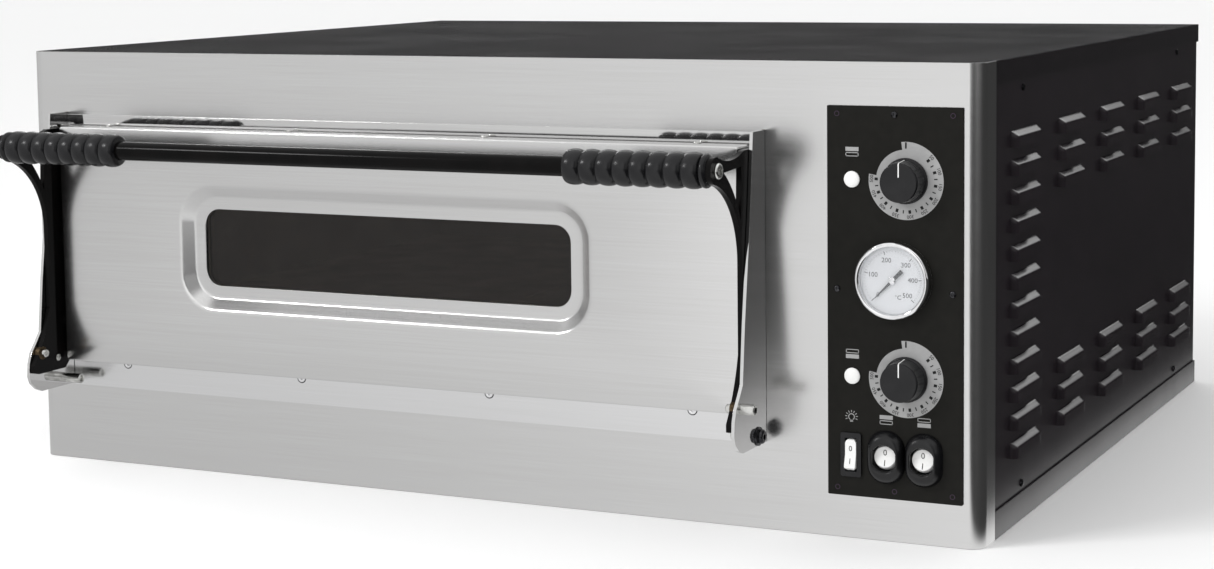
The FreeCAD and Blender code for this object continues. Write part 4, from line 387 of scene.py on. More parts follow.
finishes = {
    "brushed_stainless": steel("satin stainless", (0.66, 0.655, 0.65), (0.71, 0.71, 0.71), 0.2,
                               0.25, 1400.0,
                               0.00001),
    "polished_stainless": steel("polished stainless", (0.64, 0.635, 0.63), (0.72, 0.72, 0.72),
                                0.035, 0.07, 1800.0,
                                0.000003),
    "black_enamel": paint("black enamel", (0.0120, 0.0094, 0.0117), (0.0160, 0.0126, 0.0153), 0.2,
                          0.26, 500.0,
                          0.03, Specular_IOR_Level=0.3),
    "black_gloss": paint("gloss black enamel", (0.002, 0.002, 0.002), (0.004, 0.0035, 0.0035), 0.12,
                         0.18, 600.0,
                         0.04, Specular_IOR_Level=0.08),
    "black_phenolic": paint("black phenolic", (0.004, 0.004, 0.005), (0.008, 0.008, 0.009), 0.22,
                            0.3, 1200.0, 0.06,
                            Specular_IOR_Level=0.35),
    "control_black": paint("printed black plate", (0.0095, 0.0092, 0.008), (0.012, 0.0115, 0.01),
                           0.5, 0.6, 1800.0,
                           0.05, Specular_IOR_Level=0.1),
    "zinc_steel": plated("zinc plate", (0.5, 0.5, 0.48), (0.74, 0.74, 0.72), 0.14, 0.26, 120.0),
    "black_screws": plated("black oxide", (0.02, 0.02, 0.022), (0.07, 0.07, 0.075), 0.2, 0.32,
                           160.0),
    "chrome": plated("bright chrome", (0.78, 0.78, 0.79), (0.88, 0.88, 0.89), 0.03, 0.07, 40.0),
    "liner_steel": liner("heat-tinted liner"),
    "refractory_stone": stone("baking stone"),
    "element_steel": plated("oxidised element sheath", (0.06, 0.05, 0.045), (0.14, 0.12, 0.11), 0.4,
                            0.62, 90.0),
    "mineral_wool": fibrous("mineral wool", (0.36, 0.28, 0.12), (0.72, 0.62, 0.36), 220.0, 14.0,
                            0.0015),
    "window_glass": glass("door glass", (0.62, 0.57, 0.54), 1.3, 0.01),
    "lamp_glass": glass("lamp glass", (0.92, 0.92, 0.9), 1.45, 0.02),
    "lamp_metal": plated("lamp holder", (0.5, 0.5, 0.5), (0.78, 0.78, 0.78), 0.25, 0.4, 60.0),
    "fibre_rope": fibrous("braided glass fibre", (0.26, 0.24, 0.2), (0.66, 0.63, 0.56), 420.0, 0.6,
                          0.0006),
    "white_plastic": paint("white plastic", (0.82, 0.82, 0.81), (0.88, 0.88, 0.87), 0.2, 0.3, 900.0,
                           0.03),
    "gauge_white": paint("white dial enamel", (0.62, 0.63, 0.65), (0.67, 0.68, 0.7), 0.4, 0.5,
                         900.0, 0.02),
    "pointer_black": paint("matt black ink", (0.006, 0.006, 0.006), (0.010, 0.010, 0.010), 0.5, 0.6,
                           1500.0, 0.04,
                           Specular_IOR_Level=0.2),
    "bronze": plated("oiled bronze", (0.05, 0.035, 0.02), (0.12, 0.085, 0.05), 0.4, 0.55, 200.0),
    "black_rubber": paint("glossy black boot", (0.003, 0.003, 0.0035), (0.006, 0.006, 0.007), 0.2,
                          0.3, 500.0, 0.04,
                          Specular_IOR_Level=0.4),
    "grey_plastic": paint("grey plastic", (0.28, 0.29, 0.3), (0.36, 0.37, 0.38), 0.45, 0.6, 900.0,
                          0.1),
    "wire_jacket": paint("silicone jacket", (0.10, 0.10, 0.12), (0.15, 0.15, 0.17), 0.4, 0.55,
                         1200.0, 0.1),
}
cover_finish = clear_cover("dial cover")
# Lighter copy of the satin stainless, used on the sill: painted light.
sill_steel_painted_lighter = steel("satin stainless painted lighter for the sill", (0.75, 0.75, 0.75), (0.80, 0.80, 0.81), 0.16, 0.21, 1400.0,
                    0.00001)
# Darker copy of the black body enamel, used on the roof: painted shade.
roof_enamel_painted_darker = paint("black enamel painted darker for the roof", (0.0062, 0.005, 0.0062), (0.0085, 0.007, 0.0085), 0.14,
                    0.18, 500.0, 0.03,
                    Specular_IOR_Level=0.28)
grey_ink = paint("grey ink", (0.30, 0.30, 0.30), (0.35, 0.35, 0.35), 0.5, 0.6, 1500.0, 0.04)
ghost_ink = paint("faint violet mark", (0.030, 0.014, 0.034), (0.04, 0.018, 0.045), 0.5, 0.6,
                  1500.0, 0.04)


# ---- mesh helpers -------------------------------------------------------------------------
def added(name, data):
    """New object in the scene."""
    made = bpy.data.objects.new(name, data)
    bpy.context.scene.collection.objects.link(made)
    return made


def baked(holder):
    """An object's mesh with its modifiers applied; the object goes."""
    graph = bpy.context.evaluated_depsgraph_get()
    mesh = bpy.data.meshes.new_from_object(holder.evaluated_get(graph))
    bpy.data.objects.remove(holder)
    return mesh


def kept(shape, name):
    """Mesh from an edited shape, which is freed."""
    mesh = bpy.data.meshes.new(name)
    shape.to_mesh(mesh)
    shape.free()
    return mesh


def node_shape(node):
    """Editable shape of a CAD node, its triangles joined."""
    shape = bmesh.new()
    shape.from_mesh(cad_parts[node].data)
    bmesh.ops.remove_doubles(shape, verts=shape.verts, dist=1e-6)
    return shape


def centre(node):
    low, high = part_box(node)
    return (low + high) / 2


def mesh_from(name, points, faces):
    mesh = bpy.data.meshes.new(name)
    mesh.from_pydata([tuple(point) for point in points], [], faces)
    mesh.update()
    return mesh


def smooth(mesh, angle=34.0):
    mesh.shade_smooth()
    mesh.set_sharp_from_angle(angle=math.radians(angle))


def piece(name, mesh, body, slot, *nodes, finish=None, angle=34.0):
    """Add a finished mesh as a piece on a body, in place of the nodes it stands for."""
    mesh.name = name
    if finish or not mesh.materials:
        mesh.materials.clear()
        mesh.materials.append(finish or finishes[slot])
    if angle:
        smooth(mesh, angle)
    made = added(name, mesh)
    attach(made, body)
    if nodes:
        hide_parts(*nodes)
    return made


def aim(place, axis, spin=0.0):
    """Matrix that stands a shape made along Z at a place, along an axis."""
    axis = Vector(axis)
    turn = axis.to_track_quat("Z", "Y").to_matrix().to_4x4()
    return Matrix.Translation(place) @ turn @ Matrix.Rotation(spin, 4, "Z")


def merged(meshes):
    """One mesh from several; the others are dropped."""
    shape = bmesh.new()
    for mesh in meshes:
        shape.from_mesh(mesh)
    return kept(shape, "merged")


def ring_factor(sides, angle):
    """How a turned ring's radius varies where it is a hexagon or a cross."""
    if sides == 6:
        local = (angle % (math.pi / 3)) - math.pi / 6
        return math.cos(math.pi / 6) / math.cos(local)
    if sides == 4:
        return 0.32 + 0.68 * abs(math.cos(2 * angle)) ** 6
    return 1.0


def turned(profile, steps=48):
    """Solid turned round Z from (radius, height) or (radius, height, sides), in millimetres."""
    points, rings = [], []
    for entry in profile:
        radius, height = entry[0] * MM, entry[1] * MM
        sides = entry[2] if len(entry) > 2 else 0
        if radius == 0:
            rings.append([len(points)])
            points.append((0.0, 0.0, height))
            continue
        rings.append(list(range(len(points), len(points) + steps)))
        for step in range(steps):
            angle = 2 * math.pi * step / steps
            reach = radius * ring_factor(sides, angle)
            points.append((reach * math.cos(angle), reach * math.sin(angle), height))
    faces = []
    for low, high in zip(rings, rings[1:]):
        for step in range(steps):
            after = (step + 1) % steps
            corner = [low[step % len(low)], low[after % len(low)], high[after % len(high)],
                      high[step % len(high)]]
            if len(set(corner)) > 2:
                faces.append(list(dict.fromkeys(corner)))
    if len(rings[0]) > 1 and len(rings[-1]) > 1:
        for step in range(steps):
            after = (step + 1) % steps
            faces.append([rings[-1][step], rings[-1][after], rings[0][after], rings[0][step]])
    return mesh_from("turned", points, faces)


def placed(mesh, matrix):
    mesh.transform(matrix)
    return mesh


def arc(middle_radius, middle_height, radius, first, last, steps):
    """Points of a rounded edge in a turned profile; angles in degrees from outward."""
    points = []
    for step in range(steps + 1):
        angle = math.radians(first + (last - first) * step / steps)
        points.append((middle_radius + radius * math.cos(angle),
                       middle_height + radius * math.sin(angle)))
    return points


def slab(outline, low, high):
    """Flat print or plate on the front: an outline of x, z points between two depths, in metres."""
    count = len(outline)
    points = [(x, low, z) for x, z in outline] + [(x, high, z) for x, z in outline]
    faces = [list(range(count)), list(range(2 * count - 1, count - 1, -1))]
    for step in range(count):
        after = (step + 1) % count
        faces.append([step, step + count, after + count, after])
    mesh = mesh_from("slab", points, faces)
    return outward(mesh)


def outward(mesh):
    """Turn every face of a closed mesh outwards."""
    shape = bmesh.new()
    shape.from_mesh(mesh)
    bmesh.ops.remove_doubles(shape, verts=shape.verts, dist=1e-7)
    bmesh.ops.recalc_face_normals(shape, faces=shape.faces)
    shape.to_mesh(mesh)
    shape.free()
    return mesh


def rounded_loop(x0, z0, x1, z1, radius, steps=8):
    """Rounded rectangle as x, z points; every loop with the same steps has as many points."""
    points = []
    corners = ((x1 - radius, z1 - radius, 0), (x0 + radius, z1 - radius, 90),
               (x0 + radius, z0 + radius, 180), (x1 - radius, z0 + radius, 270))
    for x, z, start in corners:
        for step in range(steps + 1):
            angle = math.radians(start + 90 * step / steps)
            points.append((x + radius * math.cos(angle), z + radius * math.sin(angle)))
    return points


def loft(loops, closed=False):
    """Skin over loops of 3-D points with equal counts; closed joins the last to the first."""
    points = [point for loop in loops for point in loop]
    count = len(loops[0])
    faces = []
    pairs = list(range(len(loops) - 1)) + ([len(loops) - 1] if closed else [])
    for index in pairs:
        low = index * count
        high = ((index + 1) % len(loops)) * count
        for step in range(count):
            after = (step + 1) % count
            faces.append([low + step, low + after, high + after, high + step])
    if not closed:
        faces.append(list(range(count)))
        last = (len(loops) - 1) * count
        faces.append(list(range(last + count - 1, last - 1, -1)))
    return outward(mesh_from("loft", points, faces))


def round_ended(shape):
    """Narrow a tall block towards its ends so that its outline is a pill."""
    low = Vector(min(vert.co[axis] for vert in shape.verts) for axis in range(3))
    high = Vector(max(vert.co[axis] for vert in shape.verts) for axis in range(3))
    middle = (low + high) / 2
    half = (high.x - low.x) / 2
    straight = (high.z - low.z) / 2 - half
    for way in (-1, 1):
        for step in range(8):
            level = middle.z + way * (straight + half * math.sin(math.radians(86 * step / 7)))
            bmesh.ops.bisect_plane(shape,
                                   geom=list(shape.verts) + list(shape.edges) + list(shape.faces),
                                   dist=1e-7,
                                   plane_co=(0, 0, level), plane_no=(0, 0, 1))
    for vert in shape.verts:
        past = max(0.0, abs(vert.co.z - middle.z) - straight) / half
        vert.co.x = middle.x + (vert.co.x - middle.x) * math.sqrt(max(0.02, 1.0 - past * past))


def softened(node, width, angle=30.0, segments=2, pill=False):
    """Copy of a CAD node with its triangles merged and its sharp edges rounded."""
    shape = node_shape(node)
    bmesh.ops.dissolve_limit(shape, angle_limit=math.radians(0.5), verts=shape.verts,
                             edges=shape.edges)
    if pill:
        round_ended(shape)
    mesh = kept(shape, node)
    mesh.shade_smooth()
    holder = added(node + "_holder", mesh)
    bevel = holder.modifiers.new("edges", "BEVEL")
    bevel.width = width * MM
    bevel.segments = segments
    bevel.limit_method = "ANGLE"
    bevel.angle_limit = math.radians(angle)
    bevel.use_clamp_overlap = True
    even = holder.modifiers.new("even shading", "WEIGHTED_NORMAL")
    even.weight = 100
    result = baked(holder)
    result.materials.clear()
    return result


def solids(node):
    """Boxes of the separate solids in a CAD node."""
    shape = node_shape(node)
    seen, boxes = set(), []
    for start in shape.verts:
        if start in seen:
            continue
        group, queue = [], [start]
        seen.add(start)
        while queue:
            vert = queue.pop()
            group.append(vert.co.copy())
            for edge in vert.link_edges:
                other = edge.other_vert(vert)
                if other not in seen:
                    seen.add(other)
                    queue.append(other)
        low = Vector(min(point[axis] for point in group) for axis in range(3))
        high = Vector(max(point[axis] for point in group) for axis in range(3))
        boxes.append((low, high))
    shape.free()
    return boxes


# ---- geometry trees -----------------------------------------------------------------------
def grow(tree, values, start=None):
    """Run a geometry tree and keep its result as a plain mesh."""
    start = start or bpy.data.meshes.new("start")
    holder = added("holder", start)
    modifier = holder.modifiers.new("tree", "NODES")
    modifier.node_group = tree
    for item in tree.interface.items_tree:
        if item.item_type == "SOCKET" and item.in_out == "INPUT" and item.name in values:
            modifier[item.identifier] = values[item.name]
    return baked(holder)


def marks_mesh(marks):
    """Points for a tree, each with the way its fastener faces."""
    mesh = mesh_from("marks", [place for place, _ in marks], [])
    facing = mesh.attributes.new("facing", "FLOAT_VECTOR", "POINT")
    for index, (_, way) in enumerate(marks):
        facing.data[index].vector = way
    return mesh


def finished(tree, instances, given, result):
    """End of a geometry tree: its instances made real and given its finish."""
    real = put(tree, "GeometryNodeRealizeInstances", {"Geometry": instances.outputs[0]})
    coat = put(tree, "GeometryNodeSetMaterial",
               {"Geometry": real.outputs[0], "Material": given["Finish"]})
    join(tree, coat.outputs[0], result)
    return tree


def make_fastener_tree():
    """Sets one fastener on every mark, facing its own way and turned at random."""
    tree, given, taken = new_tree(
        "set fasteners", "GeometryNodeTree",
        [("Marks", "Geometry"), ("Fastener", "Object"),
         ("Size", 1.0), ("Turn Seed", 5),
         ("Finish", "Material")],
        [("Fasteners", "Geometry")])
    facing = put(tree, "GeometryNodeInputNamedAttribute", {"Name": "facing"},
                 data_type="FLOAT_VECTOR")
    way = put(tree, "FunctionNodeAlignRotationToVector", {"Vector": facing.outputs["Attribute"]},
              axis="Z")
    chance = put(tree, "FunctionNodeRandomValue",
                 {2: 0.0, 3: 2 * math.pi, "Seed": given["Turn Seed"]},
                 data_type="FLOAT")
    spin = put(tree, "FunctionNodeAxisAngleToRotation",
               {"Axis": (0, 0, 1), "Angle": chance.outputs[1]})
    stand = put(tree, "FunctionNodeRotateRotation",
                {"Rotation": way.outputs[0], "Rotate By": spin.outputs[0]},
                rotation_space="LOCAL")
    shape = put(tree, "GeometryNodeObjectInfo", {"Object": given["Fastener"], "As Instance": True})
    scale = put(tree, "ShaderNodeCombineXYZ",
                {0: given["Size"], 1: given["Size"], 2: given["Size"]})
    placed_all = put(tree, "GeometryNodeInstanceOnPoints",
                     {"Points": given["Marks"], "Instance": shape.outputs["Geometry"],
                      "Rotation": stand.outputs[0], "Scale": scale.outputs[0]})
    return finished(tree, placed_all, given, taken["Fasteners"])


def make_bead_tree():
    """A row of rounded beads along X, each closed at its ends."""
    tree, given, taken = new_tree(
        "grip beads", "GeometryNodeTree",
        [("Count", 8), ("Pitch", 0.0161),
         ("Crown Radius", 0.01598), ("Waist Radius", 0.0132),
         ("Start", "Vector"), ("Finish", "Material")],
        [("Beads", "Geometry")])
    columns, rows = 19, 49
    grid = put(tree, "GeometryNodeMeshGrid", {"Size X": float(columns - 1), "Size Y": 1.0,
                                            "Vertices X": columns, "Vertices Y": rows})
    place = put(tree, "ShaderNodeSeparateXYZ",
                {0: put(tree, "GeometryNodeInputPosition").outputs[0]})
    column = calc(tree, "ADD", place.outputs[0], (columns - 1) / 2)
    share = calc(tree, "SUBTRACT", span(tree, column, 1.0, columns - 2.0, 0.0, 1.0), 0.5)
    along = times(tree, share, given["Pitch"])
    squared = times(tree, times(tree, share, share), 4.0)
    swell = calc(tree, "SQRT", calc(tree, "MAXIMUM", calc(tree, "SUBTRACT", 1.0, squared), 0.0))
    depth = calc(tree, "SUBTRACT", given["Crown Radius"], given["Waist Radius"])
    outer = calc(tree, "MULTIPLY_ADD", swell, depth, given["Waist Radius"])
    edge = calc(tree, "ABSOLUTE", place.outputs[0])
    inside = calc(tree, "LESS_THAN", edge, (columns - 1) / 2 - 0.5)
    reach = times(tree, outer, inside)
    angle = times(tree, place.outputs[1], 2 * math.pi)
    round_y = times(tree, reach, calc(tree, "COSINE", angle))
    round_z = times(tree, reach, calc(tree, "SINE", angle))
    wrap = put(tree, "ShaderNodeCombineXYZ", {0: along, 1: round_y, 2: round_z})
    bead = put(tree, "GeometryNodeSetPosition",
               {"Geometry": grid.outputs["Mesh"], "Position": wrap.outputs[0]})
    sealed = put(tree, "GeometryNodeMergeByDistance",
                 {"Geometry": bead.outputs[0], "Distance": 1e-6})
    step = put(tree, "ShaderNodeCombineXYZ", {0: given["Pitch"], 1: 0.0, 2: 0.0})
    line = put(tree, "GeometryNodeMeshLine",
               {"Count": given["Count"], "Start Location": given["Start"],
                                            "Offset": step.outputs[0]}, mode="OFFSET")
    row = put(tree, "GeometryNodeInstanceOnPoints",
              {"Points": line.outputs[0], "Instance": sealed.outputs[0]})
    return finished(tree, row, given, taken["Beads"])


def make_louvre_tree():
    """Pressed hoods on the marks: flat sloping top, rounded ends, open mouth below."""
    tree, given, taken = new_tree(
        "louvre hoods", "GeometryNodeTree",
        [("Marks", "Geometry"), ("Width", 0.084),
         ("Height", 0.0145), ("Bulge", 0.0065),
         ("Wall", 0.001), ("End Round", 0.006),
         ("Outward", 1.0), ("Finish", "Material")],
        [("Hoods", "Geometry")])
    grid = put(tree, "GeometryNodeMeshGrid",
               {"Size X": 1.0, "Size Y": 1.0, "Vertices X": 41, "Vertices Y": 15})
    place = put(tree, "ShaderNodeSeparateXYZ",
                {0: put(tree, "GeometryNodeInputPosition").outputs[0]})
    across, upward = place.outputs[0], calc(tree, "ADD", place.outputs[1], 0.5)
    eased = times(tree, calc(tree, "SINE", times(tree, across, math.pi)), 0.5)
    wide = times(tree, eased, given["Width"])
    half = times(tree, given["Width"], 0.5)
    from_end = calc(tree, "SUBTRACT", half, calc(tree, "ABSOLUTE", wide))
    ends = calc(tree, "MINIMUM", calc(tree, "DIVIDE", from_end, given["End Round"]), 1.0)
    arch = calc(tree, "SQRT", calc(tree, "MAXIMUM", calc(tree, "SUBTRACT", 1.0, calc(
        tree, "POWER", calc(tree, "SUBTRACT", 1.0, ends), 2.0)), 0.0))
    slope = span(tree, upward, 0.66, 0.99, 1.0, 0.0)
    out = times(tree, times(tree, given["Bulge"], arch), slope)
    tall = times(tree, upward, given["Height"])
    stand = put(tree, "ShaderNodeCombineXYZ",
                {0: times(tree, out, given["Outward"]), 1: wide, 2: tall})
    hood = put(tree, "GeometryNodeSetPosition",
               {"Geometry": grid.outputs["Mesh"], "Position": stand.outputs[0]})
    side = put(tree, "ShaderNodeCombineXYZ", {0: times(tree, times(tree, given["Wall"], -1.0),
                                                      given["Outward"]), 1: 0.0, 2: 0.0})
    lining = put(tree, "GeometryNodeExtrudeMesh",
                 {"Mesh": hood.outputs[0], "Offset": side.outputs[0],
                                                 "Offset Scale": 1.0, "Individual": False},
                 mode="FACES")
    flipped = put(tree, "GeometryNodeFlipFaces", {"Mesh": hood.outputs[0]})
    both = put(tree, "GeometryNodeJoinGeometry")
    tree.links.new(lining.outputs["Mesh"], both.inputs[0])
    tree.links.new(flipped.outputs[0], both.inputs[0])
    sealed = put(tree, "GeometryNodeMergeByDistance",
                 {"Geometry": both.outputs[0], "Distance": 1e-7})
    bank = put(tree, "GeometryNodeInstanceOnPoints",
               {"Points": given["Marks"], "Instance": sealed.outputs[0]})
    return finished(tree, bank, given, taken["Hoods"])


def make_scale_tree():
    """Scale marks round a dial on the front: every so many marks is a wide one."""
    tree, given, taken = new_tree(
        "dial scale", "GeometryNodeTree",
        [("Marks", 19), ("Wide Every", 2),
         ("First Angle", 0.0), ("Last Angle", 1.0),
         ("Outer Radius", 0.03), ("Fine Length", 0.003),
         ("Fine Width", 0.0006), ("Wide Length", 0.003),
         ("Wide Width", 0.002), ("Thickness", 0.0001),
         ("Centre", "Vector"), ("Finish", "Material")],
        [("Scale", "Geometry")])
    index = put(tree, "GeometryNodeInputIndex").outputs[0]
    share = calc(tree, "DIVIDE", index, calc(tree, "SUBTRACT", given["Marks"], 1.0))
    travel = calc(tree, "SUBTRACT", given["Last Angle"], given["First Angle"])
    angle = calc(tree, "MULTIPLY_ADD", share, travel, given["First Angle"])
    plain = calc(tree, "GREATER_THAN", calc(tree, "FLOORED_MODULO", index, given["Wide Every"]),
                 0.5)
    choose = []
    for wide, fine in (("Wide Width", "Fine Width"), ("Wide Length", "Fine Length")):
        choose.append(span(tree, plain, 0.0, 1.0, given[wide], given[fine]))
    reach = calc(tree, "MULTIPLY_ADD", choose[1], -0.5, given["Outer Radius"])
    x = times(tree, reach, calc(tree, "SINE", angle))
    z = times(tree, reach, calc(tree, "COSINE", angle))
    spot = put(tree, "ShaderNodeVectorMath",
               {0: put(tree, "ShaderNodeCombineXYZ", {0: x, 2: z}).outputs[0],
                                              1: given["Centre"]}, operation="ADD")
    points = put(tree, "GeometryNodePoints", {"Count": given["Marks"], "Position": spot.outputs[0]})
    bar = put(tree, "GeometryNodeMeshCube", {"Size": (1, 1, 1)})
    turn = put(tree, "FunctionNodeAxisAngleToRotation", {"Axis": (0, 1, 0), "Angle": angle})
    size = put(tree, "ShaderNodeCombineXYZ", {0: choose[0], 1: given["Thickness"], 2: choose[1]})
    row = put(tree, "GeometryNodeInstanceOnPoints",
              {"Points": points.outputs[0], "Instance": bar.outputs[0], "Rotation": turn.outputs[0],
               "Scale": size.outputs[0]})
    return finished(tree, row, given, taken["Scale"])


fastener_tree = make_fastener_tree()
bead_tree = make_bead_tree()
louvre_tree = make_louvre_tree()
scale_tree = make_scale_tree()


# ---- fasteners ----------------------------------------------------------------------------
def pan_head():
    """Low rounded head with a cross recess; its seat is at zero height."""
    return turned([(0, 0), (3.4, 0), (3.6, 0.3), (3.5, 0.9), (2.9, 1.45), (2.0, 1.75),
                   (1.75, 1.8, 4),
                   (1.3, 0.9, 4), (0, 0.7)], 32)


def control_head():
    """Smaller pan head for the control plate."""
    return turned([(0, 0), (2.8, 0), (3.0, 0.25), (2.8, 0.8), (2.2, 1.2), (1.65, 1.4),
                   (1.5, 1.4, 4),
                   (1.1, 0.6, 4), (0, 0.5)], 32)


def sunk_head():
    """Countersunk head, a little proud, with a hexagon socket."""
    return turned([(0, -2.1), (2.2, -2.1), (4.1, 0.0), (4.0, 0.2), (2.5, 0.3), (2.2, 0.15, 6),
                   (2.2, -1.5, 6),
                   (0, -1.7)], 48)


def button_head(radius, height, socket):
    profile = [(0, 0), (radius - 0.2, 0)]
    profile += arc(radius - 0.5 * height, 0.5 * height, 0.5 * height, -30, 80, 6)
    profile += [(socket + 0.5, height), (socket, height - 0.15, 6), (socket, 0.45 * height, 6),
                (0, 0.35 * height)]
    return turned(profile, 48)


def cheese_head(radius, height, socket, depth):
    """Tall straight head with a rounded rim and a hexagon socket."""
    profile = [(0, 0), (radius - 0.3, 0), (radius, 0.3), (radius, height - 0.8)]
    profile += arc(radius - 0.8, height - 0.8, 0.8, 0, 90, 4)
    profile += [(socket + 0.35, height), (socket, height - 0.3, 6), (socket, height - depth, 6),
                (0, height - depth - 0.8)]
    return turned(profile, 48)


def set_fasteners(name, template, marks, body, slot, *nodes, seed=5):
    """Bake a fastener on each mark as one piece."""
    holder = added(name + "_shape", template)
    mesh = grow(fastener_tree,
                {"Fastener": holder, "Size": 1.0, "Turn Seed": seed, "Finish": finishes[slot]},
                marks_mesh(marks))
    bpy.data.objects.remove(holder)
    return piece(name, mesh, body, slot, *nodes)


def casing_screws():
    low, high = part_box("casing_screws")
    sides, plate = [], []
    for start, end in solids("casing_screws"):
        middle = (start + end) / 2
        if start.x < low.x + 2 * MM:
            sides.append((Vector((start.x + PAN_HEAD * MM, middle.y, middle.z)), LEFT))
        elif end.x > high.x - 2 * MM:
            sides.append((Vector((end.x - PAN_HEAD * MM, middle.y, middle.z)), RIGHT))
        elif end.y > high.y - 2 * MM:
            sides.append((Vector((middle.x, end.y - PAN_HEAD * MM, middle.z)), BACK))
        else:
            plate.append(Vector((middle.x, start.y + CONTROL_HEAD * MM, middle.z)))
    set_fasteners("casing_screw_heads", pan_head(), sides, "casing", "black_screws",
                  "casing_screws")
    marks = [(place, FRONT) for place in plate]
    set_fasteners("control_screw_heads", control_head(), marks, "casing", "black_screws", seed=9)
    low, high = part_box("control_panel")
    left, right = low.x + 9 * MM, high.x - 9 * MM
    top, bottom = high.z - 7 * MM, low.z + 7 * MM
    hidden = [(left, top), (right, top), (left, bottom), ((left + right) / 2, bottom),
              (right, bottom)]
    rings = []
    for x, z in hidden:
        ring = turned([(2.3, 0), (2.3, PRINT), (1.8, PRINT), (1.8, 0)], 32)
        rings.append(placed(ring, aim(Vector((x, low.y, z)), FRONT)))
    piece("covered_screw_marks", merged(rings), "casing", "control_black", finish=ghost_ink)


def sill_screws():
    marks = []
    for start, end in solids("sill_screws"):
        marks.append((Vector(((start.x + end.x) / 2, start.y, (start.z + end.z) / 2)), FRONT))
    set_fasteners("sill_screw_heads", sunk_head(), marks, "casing", "chrome", "sill_screws")
    # Thin dark ring round each countersunk head: painted shade in the gap of the countersink.
    crevice_shade_rings = []
    for place, _ in marks:
        crevice_shade = turned([(4.15, 0), (5.0, 0), (4.9, 0.14), (4.25, 0.14)], 32)
        crevice_shade_rings.append(placed(crevice_shade, aim(place, FRONT)))
    piece("sill_screw_edges", merged(crevice_shade_rings), "casing", "black_screws")


def door_screws():
    marks = []
    for start, end in solids("door_screws"):
        marks.append((Vector(((start.x + end.x) / 2, (start.y + end.y) / 2, end.z - PAN_HEAD * MM)),
                      UP))
    set_fasteners("door_top_screws", pan_head(), marks, "door", "zinc_steel", "door_screws")


def handle_screws():
    left, right = solids_by_side("handle_screws")
    marks = [(beside(left[0].x + HANDLE_HEAD * MM, left), LEFT),
             (beside(right[1].x - HANDLE_HEAD * MM, right), RIGHT)]
    set_fasteners("handle_end_screws", button_head(7.0, 4.4, 2.9), marks, "door", "zinc_steel",
                  "handle_screws")


def beside(x, pair):
    """Point at x, level with the middle of a box given by its two corners."""
    return Vector((x, (pair[0].y + pair[1].y) / 2, (pair[0].z + pair[1].z) / 2))


def solids_by_side(node):
    """The outermost solid on the left and on the right."""
    boxes = solids(node)
    return min(boxes, key=lambda pair: pair[0].x), max(boxes, key=lambda pair: pair[1].x)


def pivot_bolts():
    """Hinge bolts: a low head on the left, a tall socket head on the right, nuts inside."""
    left, right = solids_by_side("pivot_bolts")
    shanks = []
    for name, pair, way, height in (("low", left, LEFT, LOW_HEAD),
                                    ("tall", right, RIGHT, TALL_HEAD)):
        outer = pair[0].x if way is LEFT else pair[1].x
        seat = beside(outer - way.x * height * MM, pair)
        head = cheese_head(5.0, height, 2.9, 0.4 * height)
        set_fasteners("pivot_bolt_head_" + name, head, [(seat, way)], "casing", "zinc_steel")
        length = (pair[1].x - pair[0].x) / MM - height
        shank = turned([(0, 0), (4, 0), (4, length - 0.8), (3.4, length), (0, length)], 32)
        shanks.append(placed(shank, aim(seat, -way)))
    for pair in solids("pivot_bolts"):
        if pair in (left, right):
            continue
        way = RIGHT if pair[0].x < 0 else LEFT
        base = beside(pair[0].x if way is RIGHT else pair[1].x, pair)
        thick = (pair[1].x - pair[0].x) / MM
        nut = turned([(4.05, 0), (6.3, 0), (7.0, 0.4, 6), (7.0, thick - 0.4, 6), (6.2, thick),
                      (4.05, thick)], 48)
        shanks.append(placed(nut, aim(base, way)))
    piece("pivot_bolt_shanks", merged(shanks), "casing", "zinc_steel", "pivot_bolts")


def stop_bolts():
    """Black button heads on washers outside the wings, with bright sleeves inside."""
    left, right = solids_by_side("stop_bolts")
    washers, marks, shanks = [], [], []
    for pair, way in ((left, LEFT), (right, RIGHT)):
        outer = pair[0].x if way is LEFT else pair[1].x
        seat = beside(outer - way.x * STOP_HEAD * MM, pair)
        marks.append((seat, way))
        disc = turned([(3.2, -1.5), (8.2, -1.5), (8.5, -1.2), (8.5, -0.3), (8.2, 0), (3.2, 0)], 48)
        washers.append(placed(disc, aim(seat, way)))
        length = (pair[1].x - pair[0].x) / MM - STOP_HEAD
        shank = turned([(0, 0), (3.0, 0), (3.0, length - 0.5), (2.5, length), (0, length)], 24)
        shanks.append(placed(shank, aim(seat, -way)))
    set_fasteners("stop_bolt_heads", button_head(6.5, STOP_HEAD, 2.6), marks, "casing",
                  "black_screws", "stop_bolts")
    piece("stop_bolt_washers", merged(washers), "casing", "black_screws")
    piece("stop_bolt_shanks", merged(shanks), "casing", "zinc_steel")
    tubes = []
    for start, end in solids("stop_sleeves"):
        length = (end.x - start.x) / MM
        wall = turned([(3.05, 0), (4.8, 0), (5.0, 0.2), (5.0, length - 0.3), (4.7, length),
                       (3.35, length),
                       (3.05, length - 0.3)], 48)
        tubes.append(placed(wall, aim(beside(start.x, (start, end)), RIGHT)))
    piece("stop_tubes", merged(tubes), "casing", "zinc_steel", "stop_sleeves")


def arm_screws():
    """Flush black screws along the arms and a small bright one in each foot."""
    black, bright = [], []
    for start, end in solids("arm_screws"):
        left = start.x < 0
        if end.x - start.x < 6 * MM:
            way = RIGHT if left else LEFT
            seat = (end.x if left else start.x) - way.x * PAN_HEAD * MM
            bright.append((beside(seat, (start, end)), way))
        else:
            way = LEFT if left else RIGHT
            outer = start.x if left else end.x
            black.append((beside(outer - way.x * SOCKET_HEAD * MM, (start, end)), way))
    set_fasteners("arm_socket_screws", button_head(5.3, SOCKET_HEAD, 2.4), black, "door",
                  "black_screws", "arm_screws")
    set_fasteners("arm_foot_screws", pan_head(), bright, "door", "zinc_steel")


